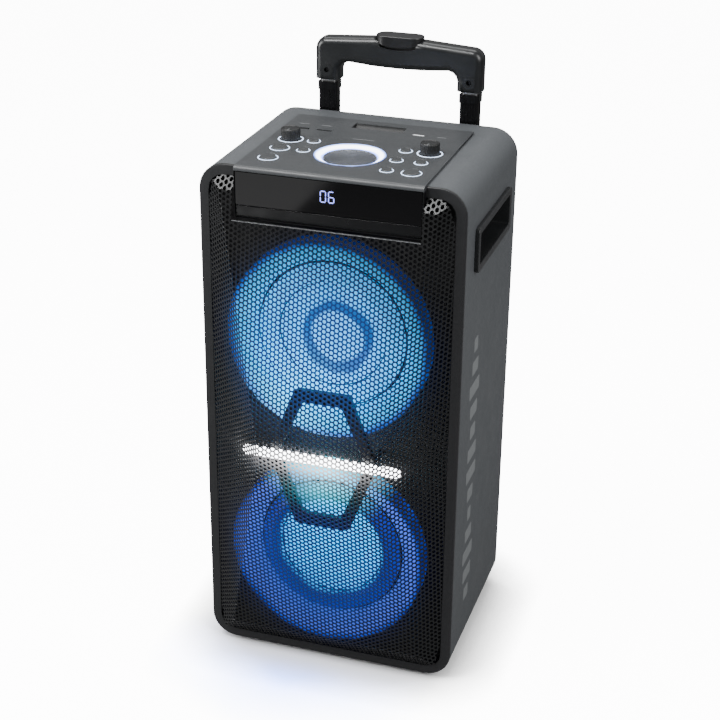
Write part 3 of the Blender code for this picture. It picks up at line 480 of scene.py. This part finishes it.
GRILLE_LOW, GRILLE_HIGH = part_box("front_grille")
RIDGE_OUT = BEZEL_LOW.y - GRILLE_LOW.y
EDGE = GRILLE_HIGH.x
FOOT = GRILLE_LOW.z - BASE.z
HEAD = GRILLE_HIGH.z - BASE.z
RIDGE_HEIGHT = 0.277
RIDGE_HALF = 0.063
TOP_FOLD = (0.562, 0.012)
BOTTOM_FOLD = (0.033, 0.017)
SIDE_SLOPE = RIDGE_OUT / (EDGE - RIDGE_HALF)
SIDE_STRETCH = math.hypot(1.0, SIDE_SLOPE)
PITCH = 0.00536
COLUMN = PITCH * math.sqrt(3) / 2
CELL_RADIUS = PITCH / math.sqrt(3)
HOLE = 0.00202
SHEET_THICKNESS = 0.0011
HOLE_SIDES = 12
SHEET_CORNER = 0.0195
NOTCH_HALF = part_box("control_panel")[1].x + 0.0005
NOTCH_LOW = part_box("control_panel")[0].z - BASE.z - 0.0005


def plateau(height):
    """How far the grille's front stands out at a height."""
    top_height, top_out = TOP_FOLD
    bottom_height, bottom_out = BOTTOM_FOLD
    upper = RIDGE_OUT - (height - RIDGE_HEIGHT) * (RIDGE_OUT - top_out) / (top_height - RIDGE_HEIGHT)
    lower = RIDGE_OUT - (RIDGE_HEIGHT - height) * (RIDGE_OUT - bottom_out) / (RIDGE_HEIGHT - bottom_height)
    top = (HEAD - height) * top_out / (HEAD - top_height)
    bottom = (height - FOOT) * bottom_out / (bottom_height - FOOT)
    return np.minimum.reduce([upper, lower, top, bottom])


def side_limit(height):
    """The flattened half-width of the sheet at a height."""
    fold = EDGE - plateau(height) / SIDE_SLOPE
    return fold + (EDGE - fold) * SIDE_STRETCH


def proud(across, height):
    side = (EDGE - np.abs(across)) * SIDE_SLOPE
    return np.minimum(plateau(height), side)


def folded(flat):
    """Flat (across, height, depth) points of the sheet, bent into the pan."""
    reach, height, depth = flat[:, 0], flat[:, 1], flat[:, 2]
    fold = EDGE - plateau(height) / SIDE_SLOPE
    beyond = np.maximum(np.abs(reach) - fold, 0.0)
    across = np.sign(reach) * (np.minimum(np.abs(reach), fold) + beyond / SIDE_STRETCH)
    step = 0.0012
    lean_x = (proud(across + step, height) - proud(across - step, height)) / (2 * step)
    lean_z = (proud(across, height + step) - proud(across, height - step)) / (2 * step)
    inward = np.stack([lean_x, np.ones_like(lean_x), lean_z], 1)
    inward /= np.linalg.norm(inward, axis=1, keepdims=True)
    front = np.stack([across, -proud(across, height), height], 1)
    return front + inward * depth[:, None] + np.array(BASE)


def grille_cell(centre, vertices, faces):
    """One hexagon of sheet round its hole, with the hole's wall."""
    start = len(vertices)
    for corner in range(6):
        angle = math.radians(60 * corner)
        x = centre[0] + CELL_RADIUS * math.cos(angle)
        vertices.append((x, centre[1] + CELL_RADIUS * math.sin(angle), 0.0))
    for depth in (0.0, SHEET_THICKNESS):
        for side in range(HOLE_SIDES):
            angle = 2 * math.pi * side / HOLE_SIDES
            x = centre[0] + HOLE * math.cos(angle)
            vertices.append((x, centre[1] + HOLE * math.sin(angle), depth))
    rim = start + 6
    back = rim + HOLE_SIDES
    for corner in range(6):
        first = rim + 2 * corner
        second = rim + (2 * corner + 1) % HOLE_SIDES
        third = rim + (2 * corner + 2) % HOLE_SIDES
        after = start + (corner + 1) % 6
        faces.append((start + corner, first, second))
        faces.append((start + corner, second, after))
        faces.append((after, second, third))
    for side in range(HOLE_SIDES):
        after = (side + 1) % HOLE_SIDES
        faces.append((rim + side, rim + after, back + after, back + side))


def boundary_planes():
    """(point, outward direction) of the flattened sheet's edges."""
    heights = [FOOT, BOTTOM_FOLD[0], RIDGE_HEIGHT, TOP_FOLD[0], HEAD]
    planes = [((0, FOOT), (0, -1)), ((0, HEAD), (0, 1))]
    for side in (-1, 1):
        for low, high in zip(heights, heights[1:]):
            start = (side * float(side_limit(np.array(low))), low)
            end = (side * float(side_limit(np.array(high))), high)
            run = Vector(end) - Vector(start)
            planes.append((start, (side * run.y, -side * run.x)))
        for end, height in ((-1, FOOT + SHEET_CORNER), (1, HEAD - SHEET_CORNER)):
            hub = Vector((side * (EDGE - SHEET_CORNER), height))
            for degrees in (22.5, 45.0, 67.5):
                turn = math.radians(degrees)
                outward = Vector((side * math.cos(turn), end * math.sin(turn)))
                planes.append((tuple(hub + outward * SHEET_CORNER), tuple(outward)))
    return planes


def sheet_cells(planes):
    """The sheet's hexagons by half: whole ones, and those that an edge or the notch may cut."""
    whole = {"upper": ([], []), "lower": ([], [])}
    border = {"upper": ([], []), "lower": ([], [])}
    margin = CELL_RADIUS + 1e-5
    columns = int(0.17 / COLUMN)
    for column in range(-columns, columns + 1):
        offset = PITCH / 2 if column % 2 else 0.0
        for row in range(-2, int(0.6 / PITCH)):
            centre = np.array((column * COLUMN, row * PITCH + offset))
            outside = max(float((centre - point) @ way) for point, way in planes)
            across, height = abs(centre[0]), centre[1]
            in_notch = across < NOTCH_HALF - margin and height > NOTCH_LOW + margin
            if outside > margin or in_notch:
                continue
            near_notch = across < NOTCH_HALF + margin and height > NOTCH_LOW - margin
            kind = whole if outside < -margin and not near_notch else border
            half = "upper" if height > RIDGE_HEIGHT else "lower"
            grille_cell(centre, *kind[half])
    return whole, border


def split(bm, point, way, clear=False):
    """Cuts the flat sheet along a line, and clears what lies beyond it if asked."""
    everything = bm.verts[:] + bm.edges[:] + bm.faces[:]
    bmesh.ops.bisect_plane(
        bm, geom=everything, dist=1e-7, plane_co=(*point, 0), plane_no=(*way, 0), clear_outer=clear
    )


def make_grille():
    planes = [(np.array(point), np.array(Vector(way).normalized())) for point, way in boundary_planes()]
    whole, border = sheet_cells(planes)
    for half in whole:
        bm = bmesh.new()
        grow(bm, *border[half])
        for point, way in planes:
            split(bm, point, way, clear=True)
        for point, way in (((0, NOTCH_LOW), (0, 1)), ((NOTCH_HALF, 0), (1, 0)), ((-NOTCH_HALF, 0), (1, 0))):
            split(bm, point, way)
        middles = [(face, face.calc_center_median()) for face in bm.faces]
        gone = [face for face, co in middles if abs(co.x) < NOTCH_HALF and co.y > NOTCH_LOW]
        bmesh.ops.delete(bm, geom=gone, context="FACES")
        grow(bm, *whole[half])
        bmesh.ops.remove_doubles(bm, verts=bm.verts, dist=2e-6)
        flat = np.array([vert.co for vert in bm.verts])
        for vert, point in zip(bm.verts, folded(flat)):
            vert.co = point
        mesh = bpy.data.meshes.new("perforated_" + half)
        bm.to_mesh(mesh)
        bm.free()
        mesh.materials.append(SHEET)
        piece = bpy.data.objects.new("perforated_" + half, mesh)
        bpy.context.scene.collection.objects.link(piece)
        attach(piece, "cabinet")
        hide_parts("front_grille")


def grow(bm, vertices, faces):
    made = [bm.verts.new(point) for point in vertices]
    for face in faces:
        bm.faces.new([made[index] for index in face])


# ---------------------------------------------------------------- cabinet and front


def make_hem():
    """The folded edge of the sheet under the fascia, painted paler than the sheet as a highlight."""
    depth = float(plateau(np.array(NOTCH_LOW)))
    bm = bmesh.new()
    low = at(-NOTCH_HALF, -depth - 0.0003, NOTCH_LOW - 0.0011)
    cuboid(bm, low, at(NOTCH_HALF, -depth + 0.0022, NOTCH_LOW - 0.0002), 0.0004, "X", 3)
    slotted(settle("notch_hem", bm, HEM_HIGHLIGHT, "cabinet"))


def make_front():
    make_hem()
    dress("cabinet_shell", BODY, smooth=30)
    dress("front_bezel", BEZEL, smooth=30)
    dress("baffle_board", CHIPBOARD)
    dress("hex_trim", DARK, soft=0.0008)
    dress("light_bar", WHITE_BAR)
    for name, glow in (("upper", UPPER_GLOW), ("lower", LOWER_GLOW)):
        dress(f"light_ring_{name}", glow)
        # The surrounds and cones are no lamps: the ring's light on them is painted as glow
        dress(f"woofer_{name}_surround", glow)
        dress(f"woofer_{name}_cone", glow)
        dress(f"woofer_{name}_frame", DARK)


# ---------------------------------------------------------------- control panel


def make_buttons():
    """Push buttons with a lit ring round each; the icon of plain bars beside each is made with the panel's
    marks.
    """
    for name in BUTTONS:
        low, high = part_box(name)
        dress(name, BUTTON, smooth=50)
        radius = (high.x - low.x) / 2
        centre = middle(name)
        top = at(0, 0, PANEL_TOP).z
        outer = radius + (0.0020 if name in LARGE_BUTTONS else 0.0017)
        profile = [(radius + 0.0005, -0.0002), (outer - 0.0008, 0.0003), (outer - 0.0003, 0.0003)]
        profile += [(outer, 0.0001), (outer, -0.0004), (radius + 0.0005, -0.0004)]
        bm = bmesh.new()
        lathe(bm, profile, (centre.x, centre.y, top), closed=True)
        slotted(settle(name + "_ring", bm, KEY_GLOW, "cabinet", smooth=60))


def make_knobs():
    for side in SIDES:
        name = f"knob_{side}"
        low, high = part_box(name)
        centre = middle(name)
        radius = (high.x - low.x) / 2
        base = at(0, 0, PANEL_TOP).z

        def flutes(angle, reach, height, radius=radius):
            on_the_side = reach > radius * 0.9 and height > 0.0015
            return -0.00035 * (0.5 + 0.5 * math.cos(30 * angle)) if on_the_side else 0.0

        tall = high.z - base
        profile = [
            (0, tall - 0.0007),
            (radius * 0.74, tall - 0.0007),
            (radius * 0.80, tall - 0.0002),
            (radius * 0.88, tall),
            (radius * 0.98, tall - 0.0009),
            (radius, tall - 0.0020),
            (radius, 0.0020),
            (radius * 0.985, 0.0012),
            (radius * 0.985, 0.0005),
            (0.003, 0.0005),
            (0.003, low.z - base),
            (0, low.z - base),
        ]
        bm = bmesh.new()
        lathe(bm, profile, (centre.x, centre.y, base), steps=240, wave=flutes)
        settle(name + "_skin", bm, DARK, BODY_OF[name], (name,), smooth=30)
        bm = bmesh.new()
        start = (centre.x - 0.0005, centre.y - radius * 0.95, base + tall - 0.0012)
        end = (centre.x + 0.0005, centre.y - radius * 0.45, base + tall + 0.0001)
        cuboid(bm, start, end, 0.0003, "Z")
        slotted(settle(name + "_pointer", bm, MARK, BODY_OF[name]))
        bm = bmesh.new()
        outer = radius + 0.0034
        profile = [(outer - 0.0014, 0.0001), (outer - 0.0010, 0.0003), (outer - 0.0004, 0.0003)]
        profile += [(outer, 0.0001), (outer, -0.0004), (outer - 0.0014, -0.0004)]
        lathe(bm, profile, (centre.x, centre.y, base), closed=True)
        slotted(settle(name + "_ring", bm, KEY_GLOW, "cabinet", smooth=60))


def make_panel():
    dress("control_panel", PANEL, smooth=40)
    dress("display_window", GLASS)
    dress("fascia_strip", STRIP)
    dress("dial_light_ring", dial_glow())
    dress("volume_dial", DIAL_TOP, smooth=30)
    dress("usb_socket", NICKEL)
    make_buttons()
    make_knobs()


def dial_glow():
    """The funnel round the dial: white next to it, blue further out."""
    material, tree, shader = blank("dial_glow")
    distance = distance_from(tree, middle("volume_dial"), (1, 1, 0))
    spots = ranged(tree, noise(tree, 60.0, 2.0), 0.3, 0.7, -0.0004, 0.0004)
    fade = ranged(tree, computed(tree, "ADD", distance, spots), 0.0300, 0.0385, 0.0, 1.0)
    ramp = node(tree, "ShaderNodeValToRGB", {"Fac": fade})
    ramp.color_ramp.elements[0].color = (0.20, 0.32, 1.0, 1.0)
    ramp.color_ramp.elements[1].color = (0.006, 0.010, 0.040, 1.0)
    ramp.color_ramp.elements.new(0.18).color = (0.90, 0.95, 1.0, 1.0)
    ramp.color_ramp.elements.new(0.60).color = (0.90, 0.95, 1.0, 1.0)
    ramp.color_ramp.elements.new(0.78).color = (0.22, 0.32, 0.70, 1.0)
    tree.links.new(ramp.outputs["Color"], shader.inputs["Emission Color"])
    tree.links.new(ramp.outputs["Color"], shader.inputs["Base Color"])
    shader.inputs["Emission Strength"].default_value = 6.0
    shader.inputs["Roughness"].default_value = 0.4
    return material


def dial_material():
    """Plastic turned on a lathe: fine rings round the dial's own axis."""
    material = surface("dial_plastic", (0.026, 0.028, 0.031), 0.36, bump=0.08, spread=0.08, edge=0.3)
    tree = material.node_tree
    shader = tree.nodes["Principled BSDF"]
    distance = distance_from(tree, middle("volume_dial"), (1, 1, 0))
    wave = computed(tree, "SINE", computed(tree, "MULTIPLY", distance, 9000.0))
    rings = node(tree, "ShaderNodeBump", {"Strength": 0.15, "Distance": 0.0001, "Height": wave})
    tree.links.new(rings.outputs["Normal"], shader.inputs["Normal"])
    return material


DIAL_TOP = dial_material()
SEGMENTS = {"0": "abcdef", "6": "acdefg"}
SEGMENT_THICK = 0.0009


def make_digit(bm, figure, left, low, size, face):
    """Seven-segment figure as thin bars on the display."""
    wide, tall = size
    half = SEGMENT_THICK / 2
    gap = SEGMENT_THICK * 0.6
    spans = {
        "a": ((0, tall), (wide, tall)),
        "b": ((wide, tall / 2), (wide, tall)),
        "c": ((wide, 0), (wide, tall / 2)),
        "d": ((0, 0), (wide, 0)),
        "e": ((0, 0), (0, tall / 2)),
        "f": ((0, tall / 2), (0, tall)),
        "g": ((0, tall / 2), (wide, tall / 2)),
    }
    for segment in SEGMENTS[figure]:
        (x0, z0), (x1, z1) = spans[segment]
        inset_x, inset_z = (gap, -half) if x0 != x1 else (-half, gap)
        start = at(left + x0 + inset_x, face - 0.00012, low + z0 + inset_z)
        end = at(left + x1 - inset_x, face + 0.0002, low + z1 - inset_z)
        cuboid(bm, start, end, SEGMENT_THICK * 0.3, "Y", 2)


def make_display():
    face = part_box("display_window")[0].y - BASE.y
    bm = bmesh.new()
    for figure, left in (("0", -0.0072), ("6", 0.0016)):
        make_digit(bm, figure, left, 0.5595, (0.0056, 0.0116), face)
    slotted(settle("display_digits", bm, DIGIT_GLOW, "cabinet"))


def printed_bar(bm, x, y, long, wide, radius, segments):
    """Adds a bar that stands just proud of the panel's top."""
    low = at(x - long / 2, y - wide / 2, PANEL_TOP - 0.0002)
    high = at(x + long / 2, y + wide / 2, PANEL_TOP + 0.0001)
    cuboid(bm, low, high, radius, "Z", segments)


def make_panel_marks():
    """Plain bars where the panel has its labels, and the inside of the USB slot."""
    bm = bmesh.new()
    for x, y, long in ((-0.0830, 0.1560, 0.011), (-0.0570, 0.1560, 0.012), (0.0750, 0.1560, 0.010)):
        printed_bar(bm, x, y, long, 0.0018, 0.0006, 3)
    printed_bar(bm, -0.0025, 0.1200, 0.024, 0.0018, 0.0006, 3)
    for name in BUTTONS:
        low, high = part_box(name)
        centre = middle(name)
        y = centre.y - BASE.y + (high.x - low.x) / 2 + 0.0052
        for shift in (-0.0022, 0.0, 0.0022):
            printed_bar(bm, centre.x + shift, y, 0.0016, 0.0010, 0.0003, 2)
    slotted(settle("panel_marks", bm, MARK, "cabinet"))
    bm = bmesh.new()
    cuboid(bm, at(-0.0826, 0.1384, 0.5742), at(-0.0736, 0.1397, 0.5880), 0.0004, "Z", 2)
    slotted(settle("usb_tongue", bm, LINER, "cabinet"))
    bm = bmesh.new()
    printed_bar(bm, 0.0485, 0.1560, 0.0130, 0.0024, 0.0008, 3)
    slotted(settle("bright_mark", bm, BRIGHT_MARK, "cabinet"))


# ---------------------------------------------------------------- sides


def make_sides():
    """Side grips, and a column of bars of changing length as the side's graphic."""
    lengths = (0.020, 0.034, 0.042, 0.028, 0.014, 0.024, 0.040, 0.036, 0.022, 0.030, 0.042, 0.026, 0.016)
    for side, sign in SIDES.items():
        dress(f"side_grip_{side}", RIM, soft=0.0012)
        bm = bmesh.new()
        near, far = sorted((sign * (HALF_WIDTH - 0.0002), sign * (HALF_WIDTH + 0.00015)))
        for index, long in enumerate(lengths):
            low = 0.070 + index * 0.0262
            cuboid(bm, at(near, 0.064 - long / 2, low), at(far, 0.064 + long / 2, low + 0.0160), 0.003, "X")
        slotted(settle(f"side_graphic_{side}", bm, SIDE_MARK, "cabinet"))


# ---------------------------------------------------------------- handle


def ribbed_outline(half_x, half_y, corner, pitch, depth):
    """A rounded rectangle whose straight sides carry small ribs, as (u, v) points."""
    points = []
    arcs = []
    for quarter, (x_side, y_side) in enumerate(((1, -1), (1, 1), (-1, 1), (-1, -1))):
        hub = Vector((x_side * (half_x - corner), y_side * (half_y - corner)))
        angles = [math.radians(90 * quarter - 90 + 22.5 * step) for step in range(5)]
        arcs.append([tuple(hub + corner * Vector((math.cos(a), math.sin(a)))) for a in angles])
    for index, arc in enumerate(arcs):
        points += arc
        start = Vector(arc[-1])
        run = Vector(arcs[(index + 1) % 4][0]) - start
        count = max(1, int(run.length / pitch))
        inward = Vector((-run.y, run.x)).normalized()
        for rib in range(count):
            for share, sink in ((0.15, 0.0), (0.30, depth), (0.70, depth), (0.85, 0.0)):
                points.append(tuple(start + run * (rib + share) / count + inward * sink))
    return points


def make_handle():
    for side in SIDES:
        tube = f"outer_tube_{side}"
        low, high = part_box(tube)
        centre = (low + high) / 2

        def place(u, v, height, centre=centre):
            return Vector((centre.x + u, centre.y + v, height))

        outer = ribbed_outline(0.0107, 0.0090, 0.003, 0.0026, 0.0005)
        inner = [(u * 0.845, v * 0.82) for u, v in outer]
        bm = bmesh.new()
        hollow_prism(bm, outer, inner, low.z, high.z - 0.0006, place)
        collar = ribbed_outline(0.0117, 0.0100, 0.0035, 0.1, 0.0)
        socket = ribbed_outline(0.0106, 0.0089, 0.003, 0.1, 0.0)
        hollow_prism(bm, collar, socket, high.z - 0.0100, high.z - 0.0008, place)
        settle(tube + "_skin", bm, TUBE, BODY_OF[tube], (tube,), smooth=30)
        dress(f"inner_tube_{side}", STEEL)
        dress(f"handle_guide_{side}", DARK, soft=0.0006)
        dress(f"grip_screw_{side}", BLACK_STEEL)
    dress("handle_grip", GRIP, smooth=40)
    dress("release_button", PAD, smooth=40, soft=0.0008)


# ---------------------------------------------------------------- rear, wheels and feet


def add_screw(bm, centre, facing, radius=0.0030):
    """A pan-head screw with a round socket."""
    profile = [(0, 0.0003), (radius * 0.36, 0.0003), (radius * 0.42, 0.0010), (radius * 0.82, 0.0009)]
    profile += [(radius, 0.0003), (radius, -0.0003), (0, -0.0003)]
    lathe(bm, profile, centre, facing, steps=24)


def make_screws():
    bm = bmesh.new()
    low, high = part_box("service_panel")
    for height in (low.z + 0.008, (low.z + high.z) / 2, high.z - 0.008):
        for across in (low.x + 0.008, high.x - 0.008):
            add_screw(bm, (across, high.y, height), "rear")
    for side in SIDES:
        low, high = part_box(f"handle_guide_{side}")
        for height in (low.z + 0.012, (low.z + high.z) / 2, high.z - 0.012):
            add_screw(bm, ((low.x + high.x) / 2, high.y, height), "rear", 0.0026)
    low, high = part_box("connection_plate")
    for height in (low.z + 0.006, high.z - 0.006):
        for across in (low.x + 0.006, high.x - 0.006):
            add_screw(bm, (across, high.y, height), "rear", 0.0024)
    slotted(settle("rear_screws", bm, BLACK_STEEL, "cabinet"))


def make_connections():
    """Metal rings round the jacks, and the pins of the mains inlet."""
    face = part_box("connection_plate")[1].y
    bm = bmesh.new()
    profile = [(0.0033, -0.0003), (0.0033, 0.0004), (0.0037, 0.0008), (0.0045, 0.0007)]
    profile += [(0.0049, 0.0002), (0.0049, -0.0003)]
    for index in range(4):
        centre = at(-0.030 + 0.020 * index, 0, 0.250)
        lathe(bm, profile, (centre.x, face, centre.z), "rear", steps=36, closed=True)
    low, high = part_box("mains_inlet")
    for shift in (-0.0043, 0.0043):
        pin = [(0, 0.0065), (0.0007, 0.0065), (0.0011, 0.0058), (0.0011, 0.0), (0, 0.0)]
        root = ((low.x + high.x) / 2 + shift, high.y - 0.0112, (low.z + high.z) / 2)
        lathe(bm, pin, root, "rear", steps=20)
    slotted(settle("connector_metal", bm, NICKEL, "cabinet"))


def make_wheels():
    for side in SIDES:
        name = f"wheel_{side}"
        low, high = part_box(name)
        centre = (low + high) / 2
        radius = (high.z - low.z) / 2
        half = (high.x - low.x) / 2

        def tread(angle, reach, height, radius=radius):
            return -0.0009 if reach > radius - 1e-5 and math.cos(30 * angle) > 0.2 else 0.0

        shoulder = [(0.0212, half - 0.0012), (0.0225, half - 0.0004), (0.0250, half)]
        shoulder += [(radius - 0.0012, half - 0.0034), (radius, half - 0.0048)]
        tyre = shoulder + [(reach, -height) for reach, height in reversed(shoulder)]
        bm = bmesh.new()
        lathe(bm, tyre, centre, "right", steps=240, closed=True, wave=tread)
        settle(name + "_tyre", bm, RUBBER, BODY_OF[name], (name,), smooth=30)
        face = [(0.0046, half - 0.0012), (0.0095, half - 0.0012), (0.0105, half - 0.0020)]
        face += [(0.0118, half - 0.0042), (0.0192, half - 0.0042), (0.0203, half - 0.0016)]
        face += [(0.0208, half - 0.0012)]
        hub = face + [(reach, -height) for reach, height in reversed(face)]
        bm = bmesh.new()
        lathe(bm, hub, centre, "right", steps=72, closed=True)
        for index in range(5):
            angle = 2 * math.pi * index / 5
            before = len(bm.verts)
            cuboid(bm, (-half + 0.0016, -0.0012, 0.0100), (half - 0.0016, 0.0012, 0.0200), 0.0005, "Z", 2)
            bm.verts.ensure_lookup_table()
            turn = Matrix.Translation(centre) @ Matrix.Rotation(angle, 4, "X")
            bmesh.ops.transform(bm, matrix=turn, verts=bm.verts[before:])
        settle(name + "_hub", bm, HUB, BODY_OF[name], (name,), smooth=30)


def make_rear():
    dress("service_panel", BODY, soft=0.0005)
    dress("connection_plate", DARK, soft=0.0004)
    dress("mains_inlet", DARK, soft=0.0004)
    dress("bass_port", DARK, smooth=50)
    dress("power_switch", RUBBER, soft=0.0004)
    make_screws()
    make_connections()
    make_wheels()
    for side in SIDES:
        for end in ("front", "rear"):
            dress(f"foot_{end}_{side}", RUBBER)
    dress("wheel_axle", STEEL)


def make_insides():
    for name, material in (
        ("battery_pack", WRAP),
        ("power_supply_board", CIRCUIT),
        ("amplifier_board", CIRCUIT),
        ("control_board", CIRCUIT),
    ):
        dress(name, material)


# ---------------------------------------------------------------- camera, floor and lights


def make_camera():
    """The photo's angle and lens."""
    azimuth, elevation, roll = (math.radians(angle) for angle in (17.7096, 24.9791, 0.6437))
    level_back = Vector((math.sin(azimuth), -math.cos(azimuth), 0.0))
    back = level_back * math.cos(elevation) + Vector((0, 0, math.sin(elevation)))
    right = (-back).cross(Vector((0, 0, 1))).normalized()
    up = back.cross(right)
    level_right = right * math.cos(roll) + up * math.sin(roll)
    level_up = -right * math.sin(roll) + up * math.cos(roll)
    lens = bpy.data.cameras.new("camera")
    lens.lens = 80.568
    lens.sensor_width = 36.0
    camera = bpy.data.objects.new("camera", lens)
    turn = Matrix((level_right, level_up, back)).transposed().to_4x4()
    camera.matrix_world = Matrix.Translation(at(0.50628, -1.47766, 1.10705)) @ turn
    bpy.context.scene.collection.objects.link(camera)
    bpy.context.scene.camera = camera


def make_floor():
    bm = bmesh.new()
    bmesh.ops.create_grid(bm, x_segments=1, y_segments=1, size=60.0)
    mesh = bpy.data.meshes.new("floor")
    bm.to_mesh(mesh)
    bm.free()
    floor = bpy.data.objects.new("floor", mesh)
    bpy.context.scene.collection.objects.link(floor)
    mesh.materials.append(floor_paper())


def make_world():
    """A grey surround that looks white to the camera."""
    world = bpy.data.worlds.new("studio")
    world.use_nodes = True
    tree = world.node_tree
    backdrop = tree.nodes["Background"]
    backdrop.inputs["Color"].default_value = (1.0, 1.0, 1.0, 1.0)
    seen = node(tree, "ShaderNodeLightPath").outputs["Is Camera Ray"]
    tree.links.new(ranged(tree, seen, 0.0, 1.0, 0.30, 12.0), backdrop.inputs["Strength"])
    bpy.context.scene.world = world


def floor_paper():
    """White paper that glows for the picture, grey in reflections, with a painted contact shadow and a
    painted pool of blue light in front.
    """
    material, tree, shader = blank("floor_paper")
    fibre = ranged(tree, noise(tree, 300.0, 4.0), 0.3, 0.7, 0.985, 1.0)
    seen = node(tree, "ShaderNodeLightPath").outputs["Is Camera Ray"]
    paper = mixed(tree, seen, (0.16, 0.16, 0.165, 1.0), (0.90, 0.90, 0.90, 1.0))
    tree.links.new(paper, shader.inputs["Base Color"])
    # Painted contact shadow: ambient occlusion darkens the paper's glow
    painted_contact_shadow = node(tree, "ShaderNodeAmbientOcclusion", {"Distance": 0.070}, samples=8).outputs["AO"]
    painted_contact_shadow = computed(tree, "POWER", painted_contact_shadow, 5.0)
    # Painted pool of blue light in front of the speaker
    distance = distance_from(tree, at(-0.035, -0.030, -0.005), (1, 1.4, 0))
    wobble = ranged(tree, noise(tree, 9.0, 2.0), 0.3, 0.7, -0.012, 0.012)
    painted_blue_pool = ranged(tree, computed(tree, "ADD", distance, wobble), 0.02, 0.175, 1.0, 0.0)
    tint = mixed(tree, painted_blue_pool, (1.0, 1.0, 1.0, 1.0), (0.09, 0.22, 0.80, 1.0))
    glow = mixed(tree, 1.0, tint, computed(tree, "MULTIPLY", painted_contact_shadow, fibre), "MULTIPLY")
    tree.links.new(mixed(tree, seen, BLACK, glow), shader.inputs["Emission Color"])
    shader.inputs["Emission Strength"].default_value = 12.0
    shader.inputs["Roughness"].default_value = 0.6
    return material


def softbox(name, where, aim, size, power, colour=(1.0, 1.0, 1.0)):
    lamp = bpy.data.lights.new(name, "AREA")
    lamp.shape = "RECTANGLE"
    lamp.size, lamp.size_y = size
    lamp.energy = power
    lamp.color = colour
    item = bpy.data.objects.new(name, lamp)
    item.location = where
    item.rotation_euler = (Vector(aim) - Vector(where)).to_track_quat("-Z", "Y").to_euler()
    item.visible_camera = False
    bpy.context.scene.collection.objects.link(item)
    return item


def make_lights():
    """Soft boxes round the speaker, and one low in front whose reflection crosses the display."""
    softbox("key", (1.7, -0.7, 1.5), (0.1, 0.0, 0.45), (1.0, 1.2), 34)
    softbox("top", (-0.2, 0.7, 2.2), (0.0, 0.0, 0.4), (1.4, 1.0), 19)
    softbox("glint", (-0.60, -0.95, 2.20), (0.0, 0.0, 0.5), (0.6, 0.6), 44)
    softbox("fill", (-1.7, -0.9, 0.9), (0.0, 0.0, 0.3), (0.8, 1.2), 40)
    sheen = softbox("display_sheen", (0, 0, 0), (0, 0, 1), (0.50, 0.60), 0.95)
    sheen.location = at(-0.797, -1.495, 0.015)
    sheen.rotation_euler = (math.pi, 0.0, math.radians(-4.7))


make_grille()
make_front()
make_panel()
make_display()
make_panel_marks()
make_sides()
make_handle()
make_rear()
make_insides()
make_camera()
make_floor()
make_world()
make_lights()
